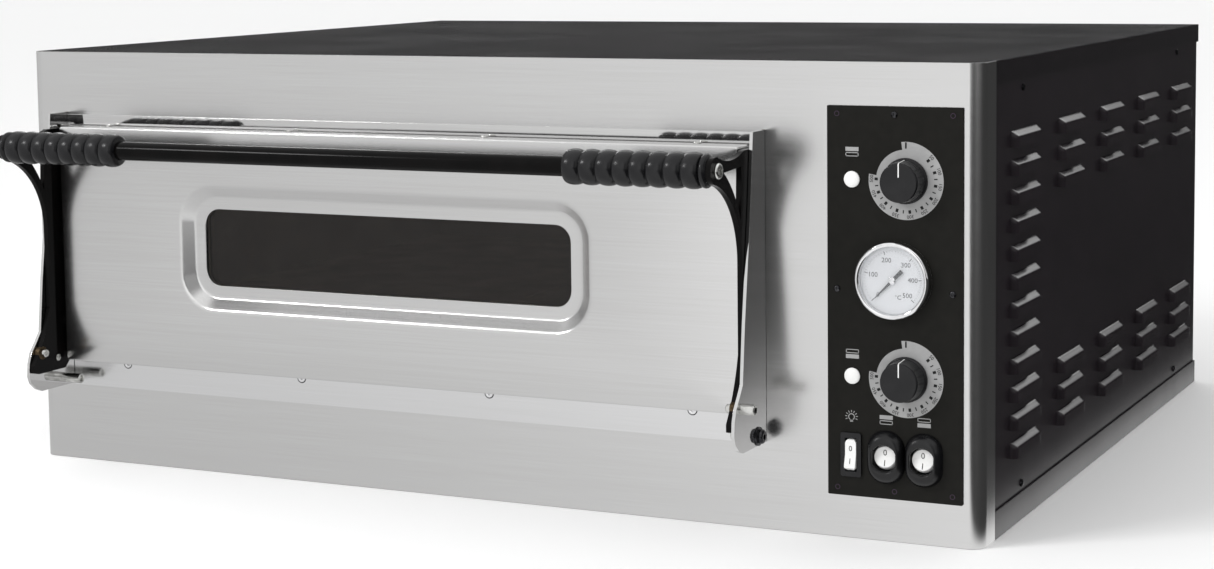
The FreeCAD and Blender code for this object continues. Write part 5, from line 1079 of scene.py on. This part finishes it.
# ---- casing -------------------------------------------------------------------------------
def casing_sheets():
    """Sheets with rounded edges: piece, node, rounding, slot, own finish."""
    sheets = [("front_sheet", "front_panel", 0.35, "brushed_stainless", None),
              # The roof takes the darker copy of the body enamel, which is painted shade.
              ("roof_sheet", "roof_panel", 0.5, "black_enamel", roof_enamel_painted_darker),
              ("base_sheet", "base_tray", 0.5, "black_enamel", None),
              ("back_sheet", "back_panel", 0.4, "black_enamel", None),
              # The sill takes the lighter copy of the stainless, which is painted light.
              ("sill_strip", "sill_plate", 0.3, "brushed_stainless", sill_steel_painted_lighter),
              ("head_mirror", "head_strip", 0.3, "polished_stainless", None),
              ("wing_plate_left", "wing_left", 0.4, "polished_stainless", None),
              ("wing_plate_right", "wing_right", 0.4, "polished_stainless", None)]
    for name, node, width, slot, finish in sheets:
        piece(name, softened(node, width), "casing", slot, node, finish=finish, angle=None)


def louvre_places():
    """Middle of each louvre's mouth on a side panel."""
    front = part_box("front_panel")[0].y
    places = []
    for column in range(LOUVRE_COLUMNS):
        y = front + (LOUVRE_FIRST + column * LOUVRE_STEP) * MM
        for row in range(LOUVRE_ROWS):
            if column == 0 or row < LOUVRE_GROUP or row >= LOUVRE_ROWS - LOUVRE_GROUP:
                places.append((y, (LOUVRE_BOTTOM + row * LOUVRE_PITCH) * MM))
    return places


def side_sheet(node, name, way):
    """Side panel as a sheet with a slot behind every louvre, and the pressed hoods on it."""
    low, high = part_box(node)
    bulge = LOUVRE_BULGE * MM
    outer = low.x + bulge if way < 0 else high.x - bulge
    inner = outer - way * 1.5 * MM
    places = louvre_places()
    half = (LOUVRE_WIDTH / 2 - 1.0) * MM
    cut_y = sorted({low.y, high.y} | {round(y + side * half, 6) for y,
                                      _ in places for side in (-1, 1)})
    tall = (LOUVRE_HEIGHT - 3.0) * MM
    cut_z = sorted({low.z, high.z} | {round(z + rise, 6) for _,
                                      z in places for rise in (0.0, tall)})
    openings = {(round(y - half, 6), round(z, 6)) for y, z in places}
    shape = bmesh.new()
    grid = {(y, z): shape.verts.new((outer, y, z)) for y in cut_y for z in cut_z}
    for y0, y1 in zip(cut_y, cut_y[1:]):
        for z0, z1 in zip(cut_z, cut_z[1:]):
            if (y0, z0) not in openings:
                shape.faces.new([grid[y0, z0], grid[y1, z0], grid[y1, z1], grid[y0, z1]])
    made = bmesh.ops.extrude_face_region(shape, geom=list(shape.faces))
    moved = [item for item in made["geom"] if isinstance(item, bmesh.types.BMVert)]
    bmesh.ops.translate(shape, verts=moved, vec=(inner - outer, 0, 0))
    bmesh.ops.recalc_face_normals(shape, faces=shape.faces)
    piece(name, kept(shape, name), "casing", "black_enamel", node)
    marks = [(Vector((outer, y, z)), RIGHT) for y, z in places]
    hoods = grow(louvre_tree,
                 {"Width": LOUVRE_WIDTH * MM, "Height": LOUVRE_HEIGHT * MM, "Bulge": bulge,
                               "Wall": MM, "End Round": 6.0 * MM, "Outward": float(way),
                               "Finish": finishes["black_enamel"]}, marks_mesh(marks))
    piece(name + "_louvres", outward(hoods), "casing", "black_enamel", angle=50.0)


# ---- door ---------------------------------------------------------------------------------
def door_sheet():
    """Pressed door skin: rounded rim, soft-edged window recess and a folded inner edge."""
    low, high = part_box("door_skin")
    wall = 1.5 * MM
    face, rear = low.y, high.y

    def outline(inset, radius, y):
        loop = rounded_loop(low.x + inset, low.z + inset, high.x - inset, high.z - inset, radius)
        return [(x, y, z) for x, z in loop]

    def window(inset, y):
        inset = inset * MM
        loop = rounded_loop(low.x + WINDOW_SIDE * MM + inset, low.z + WINDOW_BOTTOM * MM + inset,
                            high.x - WINDOW_SIDE * MM - inset, high.z - WINDOW_TOP * MM - inset,
                            WINDOW_RADIUS * MM - WINDOW_TIGHTENING * inset)
        return [(x, y, z) for x, z in loop]

    loops = [outline(0.0, 2.5 * MM, rear)]
    for step in range(5):
        angle = math.radians(90 * step / 4)
        edge = wall * (1 - math.cos(angle))
        loops.append(outline(edge, 2.5 * MM - edge * 0.6, face + wall * (1 - math.sin(angle))))
    depth = WINDOW_DEPTH * MM
    lip = [(-3.0, 0.0), (-1.2, 0.0002), (0.4, 0.0009), (1.6, 0.0018), (9.4, 0.0078),
           (10.4, 0.00855),
           (11.6, 0.0089), (13.0, depth)]
    for inset, sunk in lip:
        loops.append(window(inset, face + sunk))
    edge = WINDOW_SLOPE + WINDOW_FRAME
    loops.append(window(edge - 0.4, face + depth))
    loops.append(window(edge, face + depth + 0.4 * MM))
    loops.append(window(edge, face + depth + wall))
    for inset, sunk in reversed(lip):
        loops.append(window(inset - 1.0, face + sunk + wall))
    loops.append(outline(wall, MM, face + wall))
    loops.append(outline(wall, MM, rear))
    piece("door_face", loft(loops, closed=True), "door", "brushed_stainless", "door_skin",
          angle=40.0)


def door_parts():
    piece("door_back_pan", softened("door_inner_pan", 0.3), "door", "liner_steel", "door_inner_pan",
          angle=None)
    for side in ("left", "right"):
        piece("arm_plate_" + side, softened("arm_" + side, 0.9, segments=3), "door", "black_gloss",
              "arm_" + side,
              angle=None)
    low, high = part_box("handle_bar")
    length = (high.x - low.x) / MM
    bar = turned([(4.0, 0), (8.4, 0), (9.0, 0.6), (9.0, length - 0.6), (8.4, length),
                  (4.0, length)], 64)
    middle = centre("handle_bar")
    piece("handle_rod", placed(bar, aim(Vector((low.x, middle.y, middle.z)), RIGHT)), "door",
          "black_gloss",
          "handle_bar")
    for side, way in (("left", 1), ("right", -1)):
        grip_low, grip_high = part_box("grip_" + side)
        start = grip_low.x if way > 0 else grip_high.x
        pitch = BEAD_PITCH * MM
        first = Vector((start + way * (GRIP_RING * MM + pitch / 2), middle.y, middle.z))
        if way < 0:
            first.x -= (GRIP_BEADS - 1) * pitch
        beads = grow(bead_tree,
                     {"Count": GRIP_BEADS, "Pitch": pitch, "Crown Radius": BEAD_CROWN * MM,
                                 "Waist Radius": BEAD_WAIST * MM, "Start": first,
                      "Finish": finishes["black_phenolic"]})
        ring = turned([(0, 0), (12.6, 0)] + arc(11.9, 3.5, 3.1, -70, 70, 8) + [(12.6, GRIP_RING),
                                                                               (0, GRIP_RING)], 48)
        placed(ring, aim(Vector((start, middle.y, middle.z)), Vector((way, 0, 0))))
        ring.materials.append(finishes["black_phenolic"])
        piece("grip_beads_" + side, outward(merged([beads, ring])), "door", "black_phenolic",
              "grip_" + side,
              finish=finishes["black_phenolic"], angle=60.0)


def door_rope():
    """Braided seal on the back of the door, round in section."""
    low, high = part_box("door_gasket")
    half = 4.0 * MM
    thick = high.y - low.y
    loops = []
    sections = 12
    for step in range(sections):
        angle = 2 * math.pi * step / sections
        inset = half - half * math.cos(angle)
        y = (low.y + high.y) / 2 + thick / 2 * math.sin(angle)
        loop = rounded_loop(low.x + inset, low.z + inset, high.x - inset, high.z - inset,
                            16.0 * MM - inset)
        loops.append([(x, y, z) for x, z in loop])
    piece("door_rope_seal", loft(loops, closed=True), "door", "fibre_rope", "door_gasket",
          angle=80.0)


# ---- controls -----------------------------------------------------------------------------
def plate_front():
    """Depth at which the control plate faces forward."""
    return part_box("control_panel")[0].y


def disc_outline(x, z, radius, first, last, steps):
    """Arc of points clockwise from the top, seen from the front."""
    points = []
    for step in range(steps + 1):
        angle = math.radians(first + (last - first) * step / steps)
        points.append((x + radius * math.sin(angle), z + radius * math.cos(angle)))
    return points


def ring_outline(x, z, outer, inner, first, last, steps):
    """Flat ring between two radii in millimetres, open where its angles end."""
    return (disc_outline(x, z, outer * MM, first, last, steps)
            + disc_outline(x, z, inner * MM, first, last, steps)[::-1])


def oblong(x0, z0, x1, z1):
    """Outline of an upright rectangle."""
    return [(x0, z0), (x1, z0), (x1, z1), (x0, z1)]


def printed(name, outlines, front, body, slot, finish):
    """Flat print on a plate, from outlines of x, z points in metres."""
    meshes = [slab(outline, front - PRINT * MM, front) for outline in outlines]
    return piece(name, merged(meshes), body, slot, finish=finish)


def figure(text, x, z, turn, size, front):
    """Printed figure, its feet towards the dial's middle, as a mesh in metres."""
    curve = bpy.data.curves.new("figure", "FONT")
    curve.body = text
    curve.size = size * MM
    curve.align_x = "CENTER"
    curve.align_y = "CENTER"
    curve.extrude = PRINT * MM / 2
    curve.resolution_u = 2
    mesh = baked(added("figure", curve))
    stand = Matrix.Rotation(math.radians(90), 4, "X")
    place = Matrix.Translation((x, front - PRINT * MM / 2, z)) @ Matrix.Rotation(turn, 4,
                                                                                 "Y") @ stand
    mesh.transform(place)
    mesh.materials.clear()
    return mesh


def knob_dials():
    """Printed temperature rings round both knobs."""
    front = plate_front()
    rings, figures, scales, zeros = [], [], [], []
    for which in ("upper", "lower"):
        middle = centre("knob_" + which)
        x, z = middle.x, middle.z
        start, turn, end = DIAL_EDGES
        rings.append(ring_outline(x, z, DIAL_OUTER, DIAL_INNER, start, turn, 120))
        rings.append(ring_outline(x, z, DIAL_BAND, DIAL_INNER, turn, end, 36))
        zeros.append(oblong(x - 0.7 * MM, z + 28.0 * MM, x + 0.7 * MM, z + 33.4 * MM))
        scales.append(grow(scale_tree, {
            "Marks": 2 * DIAL_FIGURES - 1, "Wide Every": 2, "First Angle": math.radians(DIAL_FIRST),
            "Last Angle": math.radians(DIAL_LAST), "Outer Radius": DIAL_MARKS * MM,
            "Fine Length": 3.0 * MM,
            "Fine Width": 1.0 * MM, "Wide Length": 3.0 * MM, "Wide Width": 2.4 * MM,
            "Thickness": 2.4 * PRINT * MM, "Centre": Vector((x, front, z)),
            "Finish": finishes["pointer_black"]}))
        step = (DIAL_LAST - DIAL_FIRST) / (DIAL_FIGURES - 1)
        for number in range(DIAL_FIGURES):
            angle = math.radians(DIAL_FIRST + step * number)
            figures.append(figure(str(50 * (number + 1)),
                                  x + DIAL_FIGURE_RADIUS * MM * math.sin(angle),
                                  z + DIAL_FIGURE_RADIUS * MM * math.cos(angle), angle,
                                  DIAL_FIGURE_SIZE,
                                  front - PRINT * MM))
    printed("knob_dial_rings", rings, front, "casing", "control_black", grey_ink)
    printed("knob_dial_zeros", zeros, front - PRINT * MM, "casing", "control_black",
            finishes["pointer_black"])
    piece("knob_dial_scales", merged(scales), "casing", "control_black",
          finish=finishes["pointer_black"])
    piece("knob_dial_figures", merged(figures), "casing", "control_black",
          finish=finishes["pointer_black"])


def knobs():
    """Turned knobs with a white pointer line over the rim."""
    for which in ("upper", "lower"):
        low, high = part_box("knob_" + which)
        seat = Vector(((low.x + high.x) / 2, high.y, (low.z + high.z) / 2))
        profile = [(3.1, 0), (19.6, 0), (20.0, 0.5)] + arc(19.0, 2.0, 1.0, 20, 90, 4)
        profile += [(18.6, 3.2), (18.2, 3.8), (17.1, 18.4)] + arc(15.6, 18.5, 1.5, 0, 90, 6)
        profile += [(12.0, 20.0), (0, 19.9), (0, 10.0), (3.1, 9.8)]
        body = turned(profile, 96)
        body_name = which + "_knob"
        piece("knob_body_" + which, outward(placed(body, aim(seat, FRONT))), body_name,
              "black_phenolic",
              "knob_" + which)
        line = [(5.0, 20.1), (15.6, 20.1), (16.6, 19.8), (17.3, 18.6), (17.9, 10.0), (18.5, 4.0)]
        loops = []
        for reach, height in line:
            corners = ((-0.5, 0.0), (0.5, 0.0), (0.5, -0.6), (-0.5, -0.6))
            loops.append([(seat.x + side * MM, seat.y - (height + sunk) * MM,
                           seat.z + (reach + sunk) * MM)
                          for side, sunk in corners])
        piece("knob_line_" + which, loft(loops), body_name, "white_plastic")


def control_plate():
    piece("control_plate", softened("control_panel", 0.35), "casing", "control_black",
          "control_panel", angle=None)
    lamps = []
    front = plate_front()
    for start, end in solids("pilot_lamps"):
        x, z = (start.x + end.x) / 2, (start.z + end.z) / 2
        lens = [(0, 0), (7.0, 0), (7.2, 0.3)] + arc(6.2, 0.9, 1.0, 0, 60, 4) + [(5.0, 2.4),
                                                                                (2.5, 2.9),
                                                                                (0, 3.0)]
        lamps.append(placed(turned(lens, 64), aim(Vector((x, front, z)), FRONT)))
        body = turned([(0, 0), (6.1, 0), (6.1, 24.0), (5.4, 25.9), (0, 25.9)], 32)
        lamps.append(placed(body, aim(Vector((x, front, z)), BACK)))
    piece("pilot_lamp_lenses", merged(lamps), "casing", "white_plastic", "pilot_lamps")


def heat_signs():
    """Double-bar signs for top and bottom heat: the filled bar tells which."""
    front = plate_front()
    outlines = []
    upper, lower = centre("knob_upper"), centre("knob_lower")
    lamp_x = (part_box("pilot_lamps")[0].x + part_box("pilot_lamps")[1].x) / 2
    rows = [(lamp_x, upper.z + 24.0 * MM, True), (lamp_x, lower.z + 19.5 * MM, False)]
    for node, top_filled in (("upper_heat_rocker", True), ("lower_heat_rocker", False)):
        rows.append((centre(node).x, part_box("switch_boots")[1].z + 9.5 * MM, top_filled))
    for x, z, top_filled in rows:
        half, tall, gap, line = 6.0 * MM, 3.6 * MM, 0.5 * MM, 0.7 * MM
        for start, filled in ((z + gap, top_filled), (z - gap - tall, not top_filled)):
            end = start + tall
            if filled:
                outlines.append(oblong(x - half, start, x + half, end))
                continue
            outlines.append(oblong(x - half, start, x + half, start + line))
            outlines.append(oblong(x - half, end - line, x + half, end))
            for side in (-half, half - line):
                outlines.append(oblong(x + side, start, x + side + line, end))
    light_x = centre("light_rocker").x
    light_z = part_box("switch_boots")[1].z + 10.0 * MM
    outlines += lamp_sign(light_x, light_z)
    printed("heat_signs", outlines, front, "casing", "control_black", grey_ink)


def lamp_sign(x, z):
    """Bulb with rays."""
    shapes = []
    outer = disc_outline(x, z, 3.0 * MM, -150, 150, 20)
    inner = disc_outline(x, z, 2.3 * MM, -150, 150, 20)
    for step in range(20):
        shapes.append([inner[step], inner[step + 1], outer[step + 1], outer[step]])
    for rise in (-3.4, -4.4):
        shapes.append(oblong(x - 1.4 * MM, z + rise * MM, x + 1.4 * MM, z + (rise + 0.6) * MM))
    for step in range(9):
        angle = math.radians(-112 + 28 * step)
        way = Vector((math.sin(angle), math.cos(angle)))
        side = Vector((way.y, -way.x)) * 0.3 * MM
        start = Vector((x, z)) + way * 4.0 * MM
        end = Vector((x, z)) + way * 5.9 * MM
        shapes.append([tuple(start - side), tuple(start + side), tuple(end + side),
                       tuple(end - side)])
    return shapes


def thermometer():
    """Crimped chrome bezel, printed dial, cover and pointer."""
    glass_low, glass_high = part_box("thermometer_glass")
    x, z = (glass_low.x + glass_high.x) / 2, (glass_low.z + glass_high.z) / 2
    front = plate_front()
    seat = Vector((x, front, z))
    profile = [(29.5, 0), (33.6, 0), (34.0, 0.4), (34.0, 3.0), (33.6, 3.8), (33.7, 6.4)]
    profile += arc(31.4, 7.4, 2.5, 0, 90, 10)
    profile += [(30.4, 9.6), (29.7, 8.9), (29.5, 8.2)]
    piece("thermometer_bezel", placed(turned(profile, 128), aim(seat, FRONT)), "casing", "chrome")
    case = softened("thermometer_case", 0.2)
    shape = bmesh.new()
    shape.from_mesh(case)
    gone = [vert for vert in shape.verts if vert.co.y < front - 0.5 * MM]
    bmesh.ops.delete(shape, geom=gone, context="VERTS")
    bmesh.ops.holes_fill(shape, edges=[edge for edge in shape.edges if edge.is_boundary])
    shape.to_mesh(case)
    shape.free()
    piece("thermometer_body", case, "casing", "lamp_metal", "thermometer_case")
    dial_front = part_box("thermometer_dial")[0].y
    depth = (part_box("thermometer_dial")[1].y - dial_front) / MM
    dial = turned([(1.1, 0), (29.2, 0), (29.4, 0.2), (29.4, 1.0), (10.0, 1.05), (10.0, depth),
                   (1.1, depth)], 96)
    piece("thermometer_face", placed(dial, aim(Vector((x, dial_front, z)), BACK)), "casing",
          "gauge_white",
          "thermometer_dial")
    scales, marks = [], []
    for first, last, figures in GAUGE_SPANS:
        step = (last - first) / (len(figures) - 1)
        scales.append(grow(scale_tree, {
            "Marks": 10 * (len(figures) - 1) + 1, "Wide Every": 10,
            "First Angle": math.radians(first),
            "Last Angle": math.radians(last), "Outer Radius": GAUGE_MARKS * MM,
            "Fine Length": 1.6 * MM,
            "Fine Width": 0.2 * MM, "Wide Length": 3.2 * MM, "Wide Width": 0.6 * MM,
            "Thickness": PRINT * MM,
            "Centre": Vector((x, dial_front, z)), "Finish": finishes["pointer_black"]}))
        for number, text in enumerate(figures):
            if text:
                angle = math.radians(first + step * number)
                marks.append(figure(text, x + GAUGE_FIGURE_RADIUS * MM * math.sin(angle),
                                    z + GAUGE_FIGURE_RADIUS * MM * math.cos(angle), 0.0,
                                    GAUGE_FIGURE_SIZE, dial_front))
    piece("thermometer_scale", merged(scales), "casing", "pointer_black")
    marks.append(figure("°C", x + 5.0 * MM, z - 14.5 * MM, 0.0, 5.6, dial_front))
    piece("thermometer_figures", merged(marks), "casing", "pointer_black")
    cover_front = (glass_high.y - glass_low.y) / MM
    cover = turned([(0, 0), (29.4, 0), (29.5, 0.3), (29.5, cover_front), (0, cover_front)], 96)
    piece("thermometer_cover", placed(cover, aim(Vector((x, glass_low.y, z)), BACK)), "casing",
          node_slot("thermometer_glass"), "thermometer_glass", finish=cover_finish)
    needle(x, z)


def needle(x, z):
    """Tapered pointer with a broad tail, a domed hub and its pin."""
    low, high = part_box("thermometer_pointer")
    angle = math.radians(-GAUGE_SWEEP / 2)
    outline = [(-1.9, -12.4), (1.9, -12.4), (1.5, -3.0), (1.2, 3.0), (0.3, 22.4), (-0.3, 22.4),
               (-1.2, 3.0),
               (-1.5, -3.0)]
    turned_outline = []
    for across, along in outline:
        turned_outline.append((x + (across * math.cos(angle) + along * math.sin(angle)) * MM,
                               z + (-across * math.sin(angle) + along * math.cos(angle)) * MM))
    front = low.y
    blade = slab(turned_outline, front + 0.3 * MM, front + 1.1 * MM)
    hub = turned([(0, 0), (3.0, 0), (3.2, 0.2), (3.2, 1.0), (2.6, 1.35), (0, 1.4)], 48)
    placed(hub, aim(Vector((x, front + 1.4 * MM, z)), FRONT))
    depth = (high.y - front) / MM - 1.0
    pin = placed(turned([(0, 0), (1.0, 0), (1.0, depth), (0, depth)], 16),
                 aim(Vector((x, front + MM, z)), BACK))
    piece("needle_blade", merged([blade, pin]), "pointer", "pointer_black", "thermometer_pointer")
    piece("needle_hub", hub, "pointer", "chrome")


def boot(x, z, front, half, tall, stand, hole):
    """Rounded boot with a raised rim round a round opening."""
    loops = []
    rows = [(0.0, 0.0, 0.0), (0.0, 0.0, 1.2), (0.6, 0.05, 3.6), (1.8, 0.1, 6.4), (3.4, 0.25, 8.3),
            (4.6, 0.5, 9.0), (5.6, 0.75, 8.8), (6.4, 0.95, 8.0), (0.0, 1.0, 6.8), (0.0, 1.0, 0.0)]
    outer = rounded_loop(-half, -tall, half, tall, half * 0.94, 12)
    for inset, share, height in rows:
        loop = []
        for px, pz in outer:
            reach = math.hypot(px, pz)
            shrink = max(0.0, 1.0 - inset * MM / reach)
            circle = hole / reach
            scale = shrink * (1 - share) + circle * share
            loop.append((x + px * scale, front - height / 9.0 * stand, z + pz * scale))
        loops.append(loop)
    return loft(loops, closed=True)


def switches():
    """Boots, rockers and their marks."""
    front = plate_front()
    low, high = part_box("switch_boots")
    tall = (high.z - low.z) / 2
    stand = front - low.y
    boots = []
    for start, end in solids("switch_boots"):
        boots.append(boot((start.x + end.x) / 2, (start.z + end.z) / 2, front,
                          (end.x - start.x) / 2, tall, stand,
                          11.8 * MM))
    piece("switch_splash_boots", merged(boots), "casing", "black_rubber", "switch_boots",
          angle=70.0)
    piece("switch_housings", softened("switch_bodies", 0.4), "casing", "black_phenolic",
          "switch_bodies", angle=None)
    for node, body in (("light_rocker", "light_switch"), ("upper_heat_rocker", "upper_switch"),
                       ("lower_heat_rocker", "lower_switch")):
        cap = softened(node, 0.5, segments=3, pill=node == "light_rocker")
        piece(node + "_cap", cap, body, "white_plastic", node, angle=None)
        marks = rocker_marks(node)
        piece(node + "_marks", merged(marks), body, "pointer_black")


def rocker_marks(node):
    """Printed 0 and I on the two slopes of a rocker."""
    low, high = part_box(node)
    x, z = (low.x + high.x) / 2, (low.z + high.z) / 2
    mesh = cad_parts[node].data
    shape = BVHTree.FromPolygons([vert.co for vert in mesh.vertices],
                                 [tuple(tri.vertices) for tri in mesh.polygons])
    narrow = node == "light_rocker"
    marks = []
    for text, rise in (("0", 5.4 if narrow else 4.4), ("I", -5.6 if narrow else -4.6)):
        spot, normal, _, _ = shape.ray_cast(Vector((x, low.y - 1.0, z + rise * MM)), BACK)
        if normal.y > 0:
            normal = -normal
        mark = figure(text, 0.0, 0.0, 0.0, 7.0 if narrow else 7.6, 0.0)
        tilt = math.atan2(-normal.z, -normal.y)
        mark.transform(Matrix.Translation(spot) @ Matrix.Rotation(tilt, 4, "X"))
        marks.append(mark)
    return marks


def node_slot(node):
    """First material slot of a CAD node."""
    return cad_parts[node].data.materials[0].name.split(".")[0]


# ---- the nodes that stay ------------------------------------------------------------------
def dress_nodes():
    """Give every CAD node that is still shown its finish."""
    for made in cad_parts.values():
        if made.hide_render:
            continue
        for index, material in enumerate(made.data.materials):
            if material and material.name.split(".")[0] in finishes:
                made.data.materials[index] = finishes[material.name.split(".")[0]]


# ---- stage --------------------------------------------------------------------------------
def make_studio():
    """How bright the studio is in a direction, as polished things see it."""
    tree, given, taken = new_tree("studio", "ShaderNodeTree", [("Way", "Vector")],
                                  [("Level", "Float")])
    unit = put(tree, "ShaderNodeVectorMath", {0: given["Way"]}, operation="NORMALIZE").outputs[0]
    way = put(tree, "ShaderNodeSeparateXYZ", {0: unit})
    bearing = calc(tree, "ARCTAN2", way.outputs[0], times(tree, way.outputs[1], -1.0))
    share = calc(tree, "MULTIPLY_ADD", bearing, 0.5 / math.pi, 0.5)
    ramp = put(tree, "ShaderNodeValToRGB", {"Fac": share})
    stops = [(0.0, 0.012), (0.11, 0.03), (0.17, 0.06), (0.26, 0.36), (0.385, 0.58), (0.45, 0.69),
             (0.50, 0.95),
             (0.525, 0.95), (0.548, 0.20), (0.60, 0.28), (0.64, 0.55), (0.70, 0.30), (0.76, 0.05),
             (1.0, 0.012)]
    line = ramp.color_ramp
    while len(line.elements) < len(stops):
        line.elements.new(0.5)
    for element, (spot, level) in zip(line.elements, stops):
        element.position = spot
        element.color = (level, level, level, 1.0)
    round_about = times(tree, ramp.outputs["Color"], 1.4)
    overhead = span(tree, way.outputs[2], 0.45, 0.8, 0.0, 1.0, "SMOOTHSTEP")
    rise = span(tree, way.outputs[2], 0.24, 0.36, 0.0, 3.6, "SMOOTHSTEP")
    behind = span(tree, way.outputs[1], 0.5, 0.85, 0.0, 1.0, "SMOOTHSTEP")
    rightward = span(tree, way.outputs[0], 0.04, 0.3, 1.0, 0.2, "SMOOTHSTEP")
    glow = times(tree, times(tree, rise, behind), rightward)
    low = calc(tree, "ADD", round_about, glow)
    kept = times(tree, low, calc(tree, "SUBTRACT", 1.0, overhead))
    join(tree, calc(tree, "ADD", kept, overhead), taken["Level"])
    return tree


def make_floor():
    """Pale floor; polished things see it dim to the right of the oven."""
    material = bpy.data.materials.new("pale floor")
    material.use_nodes = True
    tree = material.node_tree
    shader = tree.nodes["Principled BSDF"]
    shader.inputs["Base Color"].default_value = (0.97, 0.97, 0.97, 1)
    shader.inputs["Roughness"].default_value = 0.9
    shader.inputs["Specular IOR Level"].default_value = 0.1
    place = tree.nodes.new("ShaderNodeTexCoord").outputs["Object"]
    along = put(tree, "ShaderNodeSeparateXYZ", {0: place})
    beside = span(tree, along.outputs[0], 0.505, 0.56, 1.0, 0.05, "SMOOTHSTEP")
    near = span(tree, along.outputs[1], -1.1, -0.445, 1.0, 0.92, "SMOOTHSTEP")
    way = put(tree, "ShaderNodeVectorMath", {0: place, 1: FLOOR_VIEW},
              operation="SUBTRACT").outputs[0]
    part = put(tree, "ShaderNodeSeparateXYZ", {0: way})
    bearing = calc(tree, "ARCTAN2", part.outputs[0], times(tree, part.outputs[1], -1.0))
    share = span(tree, bearing, math.radians(-41), math.radians(-17), 0.0, 1.0)
    level = calc(tree, "MULTIPLY_ADD", times(tree, share, share), 0.33, 0.72)
    shade = times(tree, beside, near)
    glow = put(tree, "ShaderNodeEmission", {"Strength": times(tree, level, shade)})
    path = tree.nodes.new("ShaderNodeLightPath")
    mix = put(tree, "ShaderNodeMixShader", {0: path.outputs["Is Glossy Ray"], 1: shader.outputs[0],
                                          2: glow.outputs[0]})
    join(tree, mix.outputs[0], tree.nodes["Material Output"].inputs["Surface"])
    size = 60.0
    mesh = mesh_from("floor",
                     [(-size, -size, 0), (size, -size, 0), (size, size, 0), (-size, size, 0)],
                     [(0, 1, 2, 3)])
    mesh.materials.append(material)
    floor = added("floor", mesh)
    floor.location.z = -0.0005


def make_world(studio):
    """Even white light all round, and the studio's light and dark parts for reflections."""
    world = bpy.data.worlds.new("studio")
    bpy.context.scene.world = world
    world.use_nodes = True
    tree = world.node_tree
    back = tree.nodes["Background"]
    way = tree.nodes.new("ShaderNodeTexCoord").outputs["Generated"]
    level = put(tree, "ShaderNodeGroup", {"Way": way}, node_tree=studio)
    path = tree.nodes.new("ShaderNodeLightPath")
    seen = path.outputs["Is Camera Ray"]
    soft = path.outputs["Is Diffuse Ray"]
    rest = calc(tree, "SUBTRACT", 1.0, calc(tree, "MAXIMUM", seen, soft))
    strength = calc(tree, "ADD", times(tree, seen, 1.0), times(tree, soft, 0.92))
    strength = calc(tree, "ADD", strength, times(tree, rest, level.outputs[0]))
    join(tree, strength, back.inputs["Strength"])
    back.inputs["Color"].default_value = (1, 1, 1, 1)


def softbox(name, place, target, width, height, power, glossy=True):
    """Area light aimed at a point, unseen by the camera."""
    light = bpy.data.lights.new(name, "AREA")
    light.shape = "RECTANGLE"
    light.size = width
    light.size_y = height
    light.energy = power
    made = added(name, light)
    made.matrix_world = Matrix.Translation(place) @ (Vector(place) - Vector(target)).to_track_quat(
        "Z", "Y").to_matrix().to_4x4()
    made.visible_camera = False
    made.visible_glossy = glossy


def make_camera():
    """Camera at the front right, a little above the roof."""
    data = bpy.data.cameras.new("camera")
    data.sensor_width = 36.0
    data.lens = CAMERA_LENS
    data.shift_y = CAMERA_SHIFT
    data.clip_end = 200.0
    ahead = Vector(CAMERA_AHEAD).normalized()
    up = Vector(CAMERA_UP)
    side = ahead.cross(up).normalized()
    up = side.cross(ahead)
    turn = Matrix((side, up, -ahead)).transposed().to_4x4()
    made = added("camera", data)
    made.matrix_world = Matrix.Translation(CAMERA_PLACE) @ turn
    bpy.context.scene.camera = made


# ---- build --------------------------------------------------------------------------------
casing_sheets()
side_sheet("side_panel_left", "side_sheet_left", -1)
side_sheet("side_panel_right", "side_sheet_right", 1)
casing_screws()
sill_screws()
door_sheet()
door_parts()
door_rope()
door_screws()
handle_screws()
arm_screws()
pivot_bolts()
stop_bolts()
control_plate()
knob_dials()
knobs()
heat_signs()
thermometer()
switches()
dress_nodes()

studio = make_studio()
make_floor()
make_world(studio)
make_camera()
softbox("key", (-1.6, -2.6, 2.6), (0.0, -0.3, 0.2), 1.2, 1.2, 48.0, glossy=False)
softbox("highlight", (-1.5, -2.0, 1.55), (-0.1, -0.5, 0.3), 0.45, 0.3, 9.0)
bpy.context.scene.view_settings.view_transform = "Standard"
